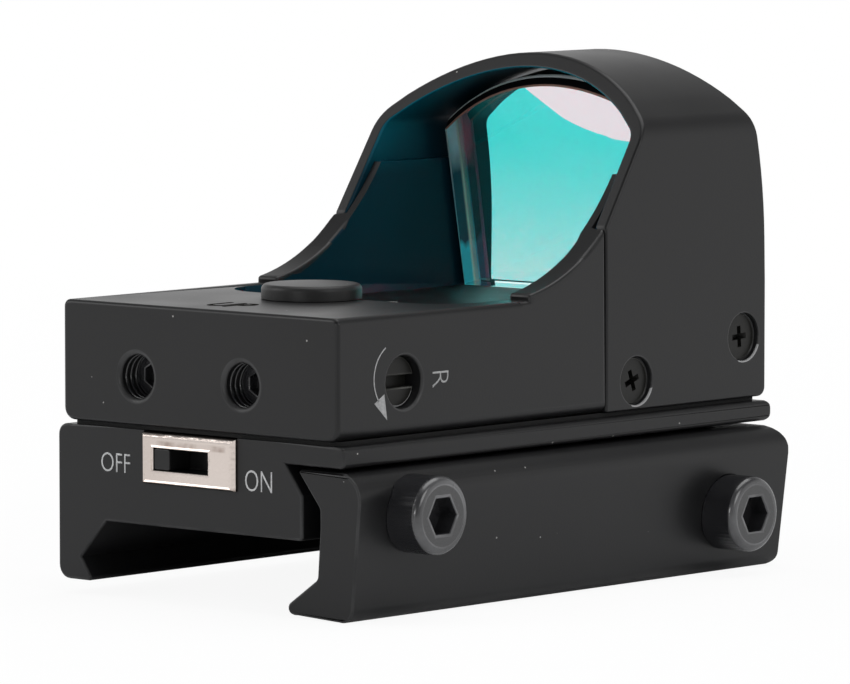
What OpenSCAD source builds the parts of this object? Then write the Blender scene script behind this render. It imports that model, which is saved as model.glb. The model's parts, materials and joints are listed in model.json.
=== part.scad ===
// Reflex red dot finder on a rail clamp.
// Millimetres, +Z up, +Y towards the target, +X to the user's right.
// The origin is on the rail seat, half way along the sight.

/* [Sight body] */
// Width over the side walls
body_w = 26.4; // [25.6:0.1:28]
// Length from rear face to front edge
body_l = 47; // [45:0.5:52]
// Height of the deck above the body's underside
body_h = 8.6; // [8.4:0.1:10]
// Depth of the channel between deck and lens
channel_depth = 1.3; // [0.8:0.1:1.4]
// Channel's rear edge, from the rear face
channel_start = 13.3; // [13.1:0.1:14]
// Thickness of each wing beside the channel
wing_t = 2; // [1.8:0.1:2.4]
// Foot of the wing's sweep, from the rear face
wing_foot = 20.3; // [19:0.1:22]
// Height of the wings above the deck, inside the hood
wing_rise = 8.4; // [7:0.1:9]
// Run of the wing's sweep, from foot to top
wing_run = 11.4; // [10.5:0.1:13]
// Radius of the wing's hollow sweep
wing_r = 20.5; // [16:0.5:40]

/* [Hood] */
// Seam between wing and hood, from the rear face
hood_seam = 28.6; // [27.5:0.1:30]
// Knee where the rim starts to rake, above the deck
hood_knee = 4.55; // [3:0.05:6]
// Rake of the rear rim from upright, in degrees
hood_rake = 33; // [20:1:36]
// Wall thickness
hood_wall = 1.1; // [1:0.05:1.3]
// Crown above the deck
crown_rise = 16.7; // [16:0.05:18]
// Radius of the crown
crown_r = 19.6; // [17:0.1:24]
// Lean of each side at its shoulder
shoulder_lean = 0.2; // [0:0.05:0.4]
// Radius of the shoulders
shoulder_r = 2.4; // [1.5:0.1:3]
// Height above the deck where the front edge starts to curve back
brow_rise = 3.1; // [1:0.1:6]
// Radius of the front edge, seen from the side
brow_r = 38; // [30:1:80]

/* [Lens] */
// Width of the glass
lens_w = 22; // [20:0.1:22.2]
// Thickness of the cemented pair
lens_t = 3.6; // [3:0.1:4.2]
// Thickness of the rear glass on the axis
lens_rear_t = 2.4; // [2:0.1:2.6]
// Lean of the lens, top to the rear, in degrees
lens_tilt = 9.8; // [6:0.1:12]
// Lower rear edge of the lens, from the rear face
lens_y = 40.6; // [39:0.1:41]
// Radius of the coated face between the two glasses
lens_r = 70; // [60:1:120]
// Gap between lens and hood
lens_gap = 0.45; // [0.3:0.05:0.8]

/* [Clamp foot] */
// Width of the rail that it fits
rail_w = 21.2; // [20.5:0.1:21.4]
// Room between the open clamp and each side of the rail
rail_room = 0.9; // [0.6:0.05:1.1]
// Height of the foot's top above the rail seat
foot_h = 6.75; // [6.7:0.05:7.5]
// Width of the top flange
flange_w = 27.5; // [27.2:0.1:28.5]
// Thickness of the flange
flange_t = 1.5; // [1.2:0.05:1.6]
// Right side of the block, from the centre line
block_side = 9.85; // [9.7:0.05:10.1]
// Depth of the fixed leg below the seat
leg_drop = 4.38; // [4:0.05:5]
// Depth of the V's point below the seat
v_drop = 2.7; // [2.5:0.05:3]
// Gap between the flange and the sight body, filled by the gasket
gasket_t = 0.28; // [0.2:0.02:0.5]

/* [Jaw and clamp screws] */
// Reach of the jaw beyond the body's front
jaw_over = 0.4; // [0:0.1:2]
// Outer face of the jaw, from the centre line
jaw_out = 15.4; // [15:0.1:16.5]
// Depth of the jaw below the seat
jaw_drop = 5.45; // [5:0.05:6.5]
// Reach of the lower lip under the rail
lip_reach = 3.9; // [3:0.1:4.2]
// Set-back of the jaw's front end at the bottom
jaw_rake = 0.5; // [0:0.1:1]
// Thread diameter of the clamp screws
screw_d = 3; // [2.8:0.1:3.2]
// Head diameter
head_d = 5.5; // [5:0.1:6]
// Head height
head_h = 3; // [2.5:0.1:3.5]
// Hexagon socket, across flats
hex_af = 2.5; // [2:0.5:3]
// Rear screw, from the rear face
screw_rear_y = 5.6; // [5.4:0.1:6.2]
// Rear screw above the seat
screw_rear_z = 1.9; // [1.8:0.05:2.1]
// Front screw, from the front of the body
screw_front_y = 6.7; // [6:0.1:8]
// Front screw below the seat, where it drops into a rail slot
screw_front_drop = 0.9; // [0.6:0.05:1.2]

/* [Adjusters] */
// Dial diameter
dial_d = 7.2; // [6.5:0.1:7.8]
// Dial height above the deck
dial_h = 1.05; // [0.8:0.05:1.6]
// Dial axis, from the rear face
dial_y = 11.8; // [11.6:0.1:12]
// Thread diameter of the dial's stem
stem_d = 2; // [1.8:0.1:2.1]
// Diameter of the windage screw's head
wind_d = 3.6; // [3.4:0.1:4]
// Thread diameter of the windage screw
wind_thread_d = 1.6; // [1.4:0.1:1.6]
// Windage axis, from the rear face
wind_y = 6.9; // [6.8:0.1:7]
// Windage axis, above the body's underside
wind_z = 3.77; // [3.7:0.01:3.8]
// Thread diameter of the lock screws
lock_d = 3; // [2.5:0.1:3]
// Left lock screw, from the centre line
lock_left_x = 6; // [5.8:0.1:6.1]
// Right lock screw, from the centre line
lock_right_x = 4.1; // [3.8:0.1:4.4]
// Lock screws, above the body's underside
lock_z = 3.45; // [3.2:0.05:3.7]
// Travel of nut and slide to each side of the middle
travel = 0.4; // [0.3:0.05:0.45]

/* [Switch] */
// Width of the frame
switch_w = 8.9; // [8.6:0.1:9.2]
// Height of the frame
switch_h = 3.6; // [3.4:0.1:3.7]
// Middle of the frame, from the centre line to the left
switch_x = 0.75; // [0:0.05:1.2]
// Window in the frame, width
window_w = 5.3; // [4.8:0.1:5.6]
// Window in the frame, height
window_h = 1.57; // [1.4:0.01:1.8]
// Middle of the window, left of the frame's middle
window_x = 0.65; // [0.4:0.05:1]
// Width of the knob
knob_w = 1.5; // [1.3:0.05:2.4]

/* [Power] */
// Coin cell diameter
cell_d = 20; // [19:0.5:20]
// Coin cell thickness
cell_t = 3.2; // [2.5:0.1:3.2]
// Cell's middle, from the centre line to the left
cell_x = 2.5; // [2.4:0.1:2.7]
// Cell's middle, ahead of the origin
cell_y = 2; // [1:0.1:2.5]

/* [Hidden] */
$fn = 48;

// Clearances
run_gap = 0.06;      // round running fits, on the radius
slide_gap = 0.05;    // flat sliding fits, on each side
fit_gap = 0.05;      // pieces that are assembled and stay put
free_gap = 0.3;      // between pieces that move past each other
cut = 1;             // overshoot of a cutting tool
slice = 0.01;        // hair of overlap where two cuts meet

// Finishes
black_metal = [0.20, 0.20, 0.21];
dark_steel = [0.13, 0.13, 0.14];
nickel = [0.80, 0.77, 0.74];
brass = [0.71, 0.58, 0.32];

// Levels and ends
rear_y = -body_l / 2;
front_y = body_l / 2;
half_w = body_w / 2;
body_z = foot_h + gasket_t;
deck_z = body_z + body_h;
floor_z = deck_z - channel_depth;
seam_y = rear_y + hood_seam;
seam_gap = 0.12;
channel_y = rear_y + channel_start;
channel_half = half_w - wing_t;
cover_half = half_w - shoulder_lean - hood_wall - fit_gap;

wing_end = rear_y + lens_y + lens_t - 1;

// Inside of the body
floor_t = 0.7;
rear_wall = 4.3;
board_t = 1;
ledge = 0.8;
ceiling_z = floor_z - floor_t;
ledge_z = body_z + board_t + 2 * fit_gap;
cavity_y = rear_y + rear_wall;
cavity_step = channel_y - 1.7;
cavity_front = channel_y + 10.5;
cavity_left = -(lock_left_x + 1.4);
cavity_right = 6.4;
cavity_half = 4.2;

// Adjuster axes
dial_pos = rear_y + dial_y;
wind_pos = rear_y + wind_y;
wind_h = body_z + wind_z;
lock_h = body_z + lock_z;

// Cross slides that aim the emitter
plate_t = 0.7;
carriage_half = 3;
plate_z = ceiling_z - free_gap - travel - plate_t;
slide_bottom = ledge_z + travel + free_gap;
slide_rear = dial_pos - 2.5;
slide_front = channel_y + 7.5;
key_w = 1;
key_h = 0.4;
key_y = channel_y + 3;
nut_l = 3;
nut_half = 1.6;
nut_x = -2.1;
clip_t = 0.4;
clip_room = clip_t + fit_gap;
clip_d = 3.4;

// Emitter
led_d = 1.5;
led_l = 1.9;
led_tilt = 35;
led_y = channel_y + 5.8;
led_z = plate_z + plate_t + 0.45;
led_seat_half = 1.5;

// Clamp screws
rear_screw_y = rear_y + screw_rear_y;
front_screw_y = front_y - screw_front_y;
jaw_l = body_l + jaw_over;
front_screw_z = -screw_front_drop;
spot_face = 0.35;
screw_end = flange_w / 2 - 0.75;

// Screws from below and through the hood
small_d = 2;
small_head_d = 3.4;
small_head_h = 0.55;
pan_h = 1.2;
cell_clear = 1.5;
board_clear = 0.5;
body_screw_rear = [
    7.6,
    max(cell_y - cell_d / 2 - cell_clear, cavity_step + ledge + small_d / 2 + board_clear)
];
body_screw_front = [6, front_y - 3.2];
body_screw_spots = [for (spot = [body_screw_rear, body_screw_front], side = [-1, 1]) [side * spot.x, spot.y]];
body_screw_depth = 3;
body_screw_seat = foot_h / 2;
hood_screw_rear = [seam_y + 3.5, body_z + 2.12];
hood_screw_front = [front_y - 2.6, body_z + 4.52];
hood_screw_spots = [hood_screw_rear, hood_screw_front];
hood_screw_l = 3.85;
screw_sink = 0.45;

// Switch
switch_mid = -switch_x;
switch_top = foot_h - 0.1;
switch_bottom = switch_top - switch_h;
switch_proud = 0.4;
switch_sheet = 0.3;
switch_depth = 3.4;
window_mid_x = switch_mid - window_x;
window_mid_z = switch_top - 1.83;
knob_h = window_h - 2 * slide_gap;
knob_x = window_mid_x - window_w / 2 + slide_gap;
knob_recess = 0.1;
knob_room = 1.9;
terminal_z = switch_top - switch_h / 2 + 1;

// Power
well_d = cell_d + 0.5;
contact_t = 0.2;
well_z = foot_h - cell_t - contact_t - 3 * fit_gap;

// Point lists for round corners: each point is [x, y, radius]
function unit(v) = v / norm(v);
function turn(a) = a > 180 ? a - 360 : a < -180 ? a + 360 : a;
function around(c, r, a, sweep, n) = [for (i = [0:n]) c + r * [cos(a + sweep * i / n), sin(a + sweep * i / n)]];
function corner(before, p, after, r, n) =
    let (
        u = unit(before - p),
        v = unit(after - p),
        half = acos(u * v) / 2,
        c = p + unit(u + v) * r / sin(half),
        s = p + u * r / tan(half) - c,
        e = p + v * r / tan(half) - c,
        a = atan2(s.y, s.x)
    )
    around(c, r, a, turn(atan2(e.y, e.x) - a), n);
function flat(p) = [p.x, p.y];
function rounded(pts, n = 6) = [
    for (i = [0:len(pts) - 1])
        let (
            p = pts[i],
            before = pts[(i + len(pts) - 1) % len(pts)],
            after = pts[(i + 1) % len(pts)]
        )
        each p[2] > 0 ? corner(flat(before), flat(p), flat(after), p[2], n) : [flat(p)]
];
function box_points(x0, y0, x1, y1, r) = [[x0, y0, r], [x1, y0, r], [x1, y1, r], [x0, y1, r]];

// Arc of radius r from p to q that sags to the right of the line
function sag_arc(p, q, r, n) =
    let (
        mid = (p + q) / 2,
        d = unit(q - p),
        c = mid + [-d.y, d.x] * sqrt(r * r - pow(norm(q - p) / 2, 2)),
        a = atan2(p.y - c.y, p.x - c.x)
    )
    around(c, r, a, turn(atan2(q.y - c.y, q.x - c.x) - a), n);

// Profile drawn in x and z, from y0 to y1
module along_y(y0, y1) {
    translate([0, y1, 0])
        rotate([90, 0, 0])
            linear_extrude(y1 - y0)
                children();
}

// Profile drawn in y and z, from x0 to x1
module along_x(x0, x1) {
    translate([x0, 0, 0])
        rotate([90, 0, 90])
            linear_extrude(x1 - x0)
                children();
}

module block(x0, x1, y0, y1, z0, z1) {
    translate([x0, y0, z0])
        cube([x1 - x0, y1 - y0, z1 - z0]);
}

module rod_x(x0, x1, y, z, d) {
    translate([x0, y, z])
        rotate([0, 90, 0])
            cylinder(d = d, h = x1 - x0);
}

module rod_y(y0, y1, x, z, d) {
    translate([x, y0, z])
        rotate([-90, 0, 0])
            cylinder(d = d, h = y1 - y0);
}

module rod_z(z0, z1, x, y, d) {
    translate([x, y, z0])
        cylinder(d = d, h = z1 - z0);
}

module ring_clip(bore_d) {
    difference() {
        cylinder(d = clip_d, h = clip_t);
        translate([0, 0, -cut])
            cylinder(d = bore_d, h = clip_t + 2 * cut);
        translate([-bore_d * 0.35, 0, -cut])
            cube([bore_d * 0.7, clip_d, clip_t + 2 * cut]);
    }
}

// Clamp foot

foot_left = -flange_w / 2;
v_x = rail_w / 2 + rail_room;
undercut = 1.55;
undercut_h = 3.15;
flange_z = foot_h - flange_t;
flange_r = 0.8;

module foot_profile() {
    polygon(rounded([
        [foot_left, -leg_drop, 1],
        [-v_x + 1.15, -leg_drop, 0.25],
        [-v_x, -v_drop, 0],
        [-v_x + v_drop - 0.2, 0, 0],
        [block_side, 0, 0.3],
        [block_side, undercut_h, 0],
        [block_side - undercut, flange_z, 0],
        [block_side - undercut, foot_h, 0],
        [foot_left, foot_h, flange_r]
    ]));
}

// Top plate of the foot, with a round front end
module flange() {
    intersection() {
        along_y(rear_y, front_y)
            polygon(rounded([
                [-undercut, flange_z, 0],
                [flange_w / 2, flange_z, 0.35],
                [flange_w / 2, foot_h, 0.35],
                [-undercut, foot_h, 0]
            ]));
        along_x(-flange_w, flange_w)
            polygon(rounded([
                [rear_y, flange_z, 0],
                [front_y, flange_z, 0.6],
                [front_y, foot_h, 0.6],
                [rear_y, foot_h, 0]
            ]));
    }
}

module body_screw_hole(spot) {
    rod_z(-cut, body_screw_seat, spot.x, spot.y, small_head_d + 2 * fit_gap);
    rod_z(0, foot_h + cut, spot.x, spot.y, small_d + 4 * fit_gap);
}

module mount_base() {
    color(black_metal)
        difference() {
            union() {
                along_y(rear_y, front_y)
                    foot_profile();
                flange();
            }
            rod_z(well_z, foot_h + cut, -cell_x, cell_y, well_d);
            block(
                switch_mid - switch_w / 2 - fit_gap, switch_mid + switch_w / 2 + fit_gap,
                rear_y - cut, rear_y + switch_depth + fit_gap,
                switch_bottom - fit_gap, foot_h + cut
            );
            block(
                switch_mid - switch_w / 3, switch_mid + switch_w / 3,
                rear_y + switch_depth, rear_y + switch_depth + 1.5,
                terminal_z - 0.6, foot_h + cut
            );
            rod_x(foot_left - cut, block_side + cut, rear_screw_y, screw_rear_z, screw_d + 2 * run_gap);
            rod_x(foot_left - cut, block_side + cut, front_screw_y, front_screw_z, screw_d + 2 * run_gap);
            for (spot = body_screw_spots)
                body_screw_hole(spot);
        }
}

module base_gasket() {
    inset = 0.4;
    color([0.06, 0.06, 0.06])
        translate([0, 0, foot_h])
            linear_extrude(gasket_t)
                difference() {
                    polygon(rounded(box_points(inset - half_w, rear_y + inset, half_w - inset, front_y - inset, 1)));
                    translate([-cell_x, cell_y])
                        circle(d = well_d);
                    for (spot = body_screw_spots)
                        translate(spot)
                            circle(d = small_d + 4 * fit_gap);
                }
}

// Jaw and clamp screws

jaw_top = flange_z - 0.25;
jaw_in = v_x;
jaw_taper = 0.95;
jaw_tip = block_side - 0.5;
lip_tip = jaw_in - lip_reach;

module jaw_profile() {
    polygon(rounded([
        [jaw_tip, jaw_top, 0.15],
        [jaw_out, jaw_top, 1.9],
        [jaw_out - jaw_taper, -jaw_drop, 1.1],
        [lip_tip, 0.35 - jaw_drop, 0.45],
        [jaw_in - 0.25, -v_drop + 0.15, 0.5],
        [jaw_in, 0.95, 0],
        [jaw_in, undercut_h - 0.8, 0.6]
    ]));
}

function jaw_face(z) = jaw_out - jaw_taper * (jaw_top - z) / (jaw_top + jaw_drop);

// Outer face of the jaw under each head, set back to a flat seat
rear_seat = jaw_face(screw_rear_z) - spot_face / 2;
front_seat = jaw_face(front_screw_z) - spot_face / 2;

module jaw_screw_hole(y, z, seat) {
    rod_x(jaw_in - 2 * cut, jaw_out + cut, y, z, screw_d + 2 * run_gap);
    rod_x(seat, jaw_out + cut, y, z, head_d + 2 * run_gap);
}

module clamp_jaw() {
    color(black_metal)
        difference() {
            intersection() {
                along_y(rear_y, rear_y + jaw_l)
                    jaw_profile();
                along_x(lip_tip - cut, jaw_out + cut)
                    polygon(rounded([
                        [rear_y, -jaw_drop, 0.3],
                        [rear_y + jaw_l - jaw_rake, -jaw_drop, 0.8],
                        [rear_y + jaw_l, jaw_top, 1.6],
                        [rear_y, jaw_top, 0.3]
                    ]));
            }
            jaw_screw_hole(rear_screw_y, screw_rear_z, rear_seat);
            jaw_screw_hole(front_screw_y, front_screw_z, front_seat);
        }
}

module cap_screw(y, z, seat) {
    edge = 0.5;
    hex_depth = head_h / 2;
    translate([0, y, z])
        rotate([0, 90, 0])
            difference() {
                union() {
                    translate([0, 0, -screw_end])
                        cylinder(d = screw_d, h = seat + screw_end + (head_h - hex_depth) / 2);
                    translate([0, 0, seat])
                        rotate_extrude()
                            polygon(concat(
                                [[0, 0], [head_d / 2, 0]],
                                around([head_d / 2 - edge, head_h - edge], edge, 0, 90, 6),
                                [[0, head_h]]
                            ));
                }
                translate([0, 0, seat + head_h - hex_depth])
                    rotate(30)
                        cylinder(d = hex_af / cos(30), h = hex_depth + cut, $fn = 6);
            }
}

module clamp_screw_rear() {
    color(dark_steel)
        cap_screw(rear_screw_y, screw_rear_z, rear_seat);
}

module clamp_screw_front() {
    color(dark_steel)
        cap_screw(front_screw_y, front_screw_z, front_seat);
}

// Switch

module switch_frame() {
    x0 = switch_mid - switch_w / 2;
    x1 = switch_mid + switch_w / 2;
    face_y = rear_y - switch_proud;
    color(nickel)
        difference() {
            block(x0, x1, face_y, rear_y + switch_depth - switch_sheet, switch_bottom, switch_top);
            block(
                x0 + switch_sheet, x1 - switch_sheet,
                face_y + switch_sheet, rear_y + switch_depth,
                switch_bottom + switch_sheet, switch_top - switch_sheet
            );
            block(
                window_mid_x - window_w / 2, window_mid_x + window_w / 2,
                face_y - cut, face_y + 2 * cut,
                window_mid_z - window_h / 2, window_mid_z + window_h / 2
            );
        }
}

module switch_housing() {
    wall = switch_sheet + fit_gap;
    mouth = rear_y - switch_proud + wall;
    color([0.12, 0.12, 0.12])
        difference() {
            block(
                switch_mid - switch_w / 2 + wall, switch_mid + switch_w / 2 - wall,
                mouth, rear_y + switch_depth,
                switch_bottom + wall, switch_top - wall
            );
            block(
                window_mid_x - window_w / 2, window_mid_x + window_w / 2,
                mouth - cut, mouth + knob_room,
                window_mid_z - window_h / 2, window_mid_z + window_h / 2
            );
        }
}

module switch_knob() {
    y0 = rear_y - switch_proud + knob_recess;
    y1 = rear_y - switch_proud + switch_sheet + knob_room - slide_gap;
    color([0.09, 0.09, 0.09])
        along_y(y0, y1)
            polygon(rounded(box_points(
                knob_x, window_mid_z - knob_h / 2, knob_x + knob_w, window_mid_z + knob_h / 2, 0.15
            )));
}

module switch_terminals() {
    pitch = 2;
    pin = 0.5;
    reach = 0.9;
    color(brass)
        for (i = [-1:1])
            block(
                switch_mid + i * pitch - pin / 2, switch_mid + i * pitch + pin / 2,
                rear_y + switch_depth, rear_y + switch_depth + reach,
                terminal_z - pin / 2, terminal_z + pin / 2
            );
}

// Power

module coin_cell() {
    rim = 0.25;
    z = well_z + contact_t + fit_gap;
    color([0.78, 0.78, 0.77])
        translate([-cell_x, cell_y, z]) {
            cylinder(d = cell_d - 2.4, h = rim);
            translate([0, 0, rim])
                cylinder(d = cell_d, h = cell_t - rim);
        }
}

module cell_contact() {
    strip = 3;
    color(brass)
        block(
            -cell_x - strip / 2, -cell_x + strip / 2,
            cell_y - cell_d / 2, cell_y + cell_d / 3,
            well_z, well_z + contact_t
        );
}

module cell_spring() {
    strip = 2.4;
    cell_top = well_z + contact_t + fit_gap + cell_t;
    color(brass)
        block(
            -cell_x - strip / 2, -cell_x + strip / 2,
            cell_y - cell_d / 2 + 1.5, cell_y - 1,
            cell_top + fit_gap, body_z
        );
}

function board_outline(grow) =
    let (
        left = cavity_left - ledge - grow,
        right = cavity_right + ledge + grow,
        half = cavity_half + ledge + grow,
        back = cavity_y - ledge - grow,
        step = cavity_step + ledge + grow,
        end = cavity_front + ledge + grow
    )
    [[left, back], [right, back], [right, step], [half, step], [half, end], [-half, end], [-half, step], [left, step]];

module circuit_board() {
    color([0.10, 0.30, 0.16])
        translate([0, 0, body_z + fit_gap])
            linear_extrude(board_t)
                polygon(board_outline(-fit_gap));
}

// Sight body

module body_cavity() {
    block(cavity_left, cavity_right, cavity_y, cavity_step, body_z - cut, ceiling_z);
    block(-cavity_half, cavity_half, cavity_step - cut, cavity_front, body_z - cut, ceiling_z);
    translate([0, 0, body_z - cut])
        linear_extrude(ledge_z - body_z + cut)
            polygon(board_outline(0));
}

module emitter_window() {
    half = led_seat_half + travel + free_gap;
    translate([0, 0, ceiling_z - cut])
        linear_extrude(floor_t + 2 * cut)
            polygon(rounded(box_points(-half, led_y - 1.3, half, led_y + 3.2, 0.5)));
}

module channel() {
    corner_r = 4;
    translate([0, 0, floor_z])
        linear_extrude(deck_z + wing_rise - floor_z + cut)
            polygon(rounded([
                [-channel_half, channel_y, corner_r],
                [channel_half, channel_y, corner_r],
                [channel_half, front_y + cut, 0],
                [-channel_half, front_y + cut, 0]
            ], 10));
}

module wing_profile() {
    foot = [rear_y + wing_foot, deck_z];
    top = [rear_y + wing_foot + wing_run, deck_z + wing_rise];
    polygon(concat(
        [[wing_end, body_z + cut], [foot.x - cut, body_z + cut], [foot.x - cut, deck_z]],
        sag_arc(foot, top, wing_r, 16),
        [[wing_end, top.y]]
    ));
}

module body_block() {
    bottom_r = 0.9;
    top_r = 0.5;
    along_y(rear_y, seam_y)
        polygon(rounded([
            [-half_w, body_z, bottom_r], [half_w, body_z, bottom_r],
            [half_w, deck_z, top_r], [-half_w, deck_z, top_r]
        ]));
    block(-cover_half, cover_half, seam_y - cut, front_y, body_z, floor_z);
}

module wings() {
    along_x(-half_w, half_w)
        intersection() {
            wing_profile();
            translate([rear_y, body_z])
                square([hood_seam, deck_z + wing_rise - body_z]);
        }
    along_x(-cover_half, cover_half)
        wing_profile();
}

wind_shoulder = half_w - 2.6;

module adjuster_holes() {
    rod_x(wind_shoulder, half_w + cut, wind_pos, wind_h, wind_d + 2 * run_gap);
    rod_x(cavity_right - cut, half_w, wind_pos, wind_h, wind_thread_d + 2 * run_gap);
    rod_x(cavity_right - cut, cavity_right + clip_room, wind_pos, wind_h, clip_d + free_gap);
    rod_z(ceiling_z - cut, deck_z + cut, 0, dial_pos, stem_d + 2 * run_gap);
    rod_z(ceiling_z - cut, ceiling_z + clip_room, 0, dial_pos, clip_d + free_gap);
    for (x = [-lock_left_x, lock_right_x]) {
        rod_y(rear_y - cut, cavity_y + cut, x, lock_h, lock_d + 2 * run_gap);
        translate([x, rear_y - slice, lock_h])
            rotate([-90, 0, 0])
                cylinder(d1 = lock_d + 0.5, d2 = lock_d, h = 0.3);
    }
}

module sight_body() {
    color(black_metal)
        difference() {
            union() {
                body_block();
                wings();
            }
            channel();
            body_cavity();
            emitter_window();
            adjuster_holes();
            for (spot = body_screw_spots)
                rod_z(body_z - cut, body_z + body_screw_depth + cut, spot.x, spot.y, small_d + 2 * run_gap);
            for (spot = hood_screw_spots)
                for (side = [-1, 1])
                    rod_x(
                        side > 0 ? half_w - screw_sink - hood_screw_l - cut : -half_w - cut,
                        side > 0 ? half_w + cut : screw_sink + hood_screw_l + cut - half_w,
                        spot.x, spot.y, small_d + 2 * run_gap
                    );
        }
}

module body_screws() {
    color(dark_steel)
        for (spot = body_screw_spots)
            translate([spot.x, spot.y, body_screw_seat - pan_h]) {
                cylinder(d = small_head_d, h = pan_h);
                cylinder(d = small_d, h = body_z + body_screw_depth - body_screw_seat + pan_h);
            }
}

// Hood

knee_z = deck_z + hood_knee;
crown_z = deck_z + crown_rise;
hood_corner_r = 0.7;

// Cross-section of the hood: leaning sides, round shoulders and an arched crown
module hood_section(inset, low) {
    half = half_w - inset;
    top_half = half_w - shoulder_lean - inset;
    r = crown_r - inset;
    middle = crown_z - crown_r;
    shoulder_z = middle + sqrt(r * r - top_half * top_half);
    reach = 0.82 * asin(top_half / r);
    polygon(concat(
        [[-half, low], [half, low], [half, deck_z]],
        rounded([
            [half, deck_z, 0],
            [top_half, shoulder_z, shoulder_r - inset],
            [r * sin(reach), middle + r * cos(reach), 0]
        ]),
        around([0, middle], r, 90 - reach, 2 * reach, 24),
        rounded([
            [-r * sin(reach), middle + r * cos(reach), 0],
            [-top_half, shoulder_z, shoulder_r - inset],
            [-half, deck_z, 0]
        ])
    ));
}

// Side view of the hood: upright seam, raked rim and a front edge that curves back
module hood_side() {
    brow_z = deck_z + brow_rise;
    top = crown_z + cut;
    brow = asin((top - brow_z) / brow_r);
    polygon(concat(
        rounded([
            [seam_y + (top - knee_z) * tan(hood_rake), top, 0],
            [seam_y, knee_z, 0],
            [seam_y, body_z, 0],
            [front_y, body_z, hood_corner_r],
            [front_y, brow_z, 0]
        ]),
        [for (p = around([front_y - brow_r, brow_z], brow_r, 0, brow, 12)) if (p.y > brow_z) p]
    ));
}

module hood() {
    color(black_metal)
        difference() {
            intersection() {
                along_y(seam_y + seam_gap, front_y)
                    difference() {
                        hood_section(0, body_z);
                        hood_section(hood_wall, body_z - cut);
                    }
                along_x(-half_w, half_w)
                    hood_side();
            }
            for (spot = hood_screw_spots)
                for (side = [-1, 1])
                    translate([side * half_w, spot.x, spot.y])
                        rotate([0, -90 * side, 0]) {
                            translate([0, 0, -cut])
                                cylinder(d = small_head_d + 2 * run_gap, h = screw_sink + cut);
                            translate([0, 0, screw_sink])
                                cylinder(
                                    d1 = small_head_d + 2 * run_gap,
                                    d2 = small_d + 2 * run_gap,
                                    h = small_head_h
                                );
                            cylinder(d = small_d + 2 * run_gap, h = hood_wall + cut);
                        }
        }
}

module hood_screws() {
    color(dark_steel)
        for (spot = hood_screw_spots)
            for (side = [-1, 1])
                translate([side * (half_w - screw_sink), spot.x, spot.y])
                    rotate([0, -90 * side, 0]) {
                        cylinder(d1 = small_head_d, d2 = small_d, h = small_head_h);
                        cylinder(d = small_d, h = hood_screw_l);
                    }
}

// Lens

lens_top = crown_z - hood_wall - lens_gap;

module lens_blank() {
    half = lens_w / 2;
    foot_r = 0.6;
    top_r = crown_r - hood_wall - lens_gap;
    tall = (lens_top - floor_z - lens_t * sin(lens_tilt)) / cos(lens_tilt);
    translate([0, rear_y + lens_y, floor_z + fit_gap])
        rotate([lens_tilt, 0, 0])
            translate([0, lens_t, 0])
                rotate([90, 0, 0])
                    linear_extrude(lens_t)
                        intersection() {
                            polygon(rounded(box_points(-half, 0, half, tall + cut, foot_r)));
                            translate([0, tall - top_r])
                                circle(r = top_r, $fn = 96);
                        }
}

module coated_ball() {
    middle = (floor_z + lens_top) / 2;
    translate([0, rear_y + lens_y, floor_z])
        rotate([lens_tilt, 0, 0])
            translate([0, lens_rear_t - lens_r, middle - floor_z])
                sphere(r = lens_r, $fn = 360);
}

module lens_rear() {
    color([0.45, 0.85, 0.82, 0.5])
        intersection() {
            lens_blank();
            coated_ball();
        }
}

module lens_front() {
    color([0.55, 0.88, 0.85, 0.5])
        difference() {
            lens_blank();
            coated_ball();
        }
}

// Adjusters

module elevation_dial() {
    edge = 0.4;
    stem_low = slide_bottom - travel;
    color(black_metal)
        translate([0, dial_pos, 0]) {
            translate([0, 0, deck_z + fit_gap])
                rotate_extrude()
                    polygon(concat(
                        [[0, 0], [dial_d / 2, 0]],
                        around([dial_d / 2 - edge, dial_h - edge], edge, 0, 90, 6),
                        [[0, dial_h]]
                    ));
            translate([0, 0, stem_low])
                cylinder(d = stem_d, h = deck_z + 2 * fit_gap - stem_low);
        }
}

module dial_clip() {
    color(nickel)
        translate([0, dial_pos, ceiling_z])
            ring_clip(stem_d);
}

module elevation_slide() {
    ear_x = -lock_left_x - 1;
    ear_l = 1.9;
    slide_top = plate_z - slide_gap;
    color(brass)
        difference() {
            union() {
                block(-carriage_half, carriage_half, slide_rear, slide_front, slide_bottom, slide_top);
                block(ear_x, 0, slide_rear, slide_rear + ear_l, slide_bottom + 0.2, slide_top - 0.3);
                block(-carriage_half, carriage_half, key_y, key_y + key_w, slide_bottom, plate_z + key_h);
            }
            rod_z(slide_bottom - cut, slide_top + cut, 0, dial_pos, stem_d + 2 * run_gap);
        }
}

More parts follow.
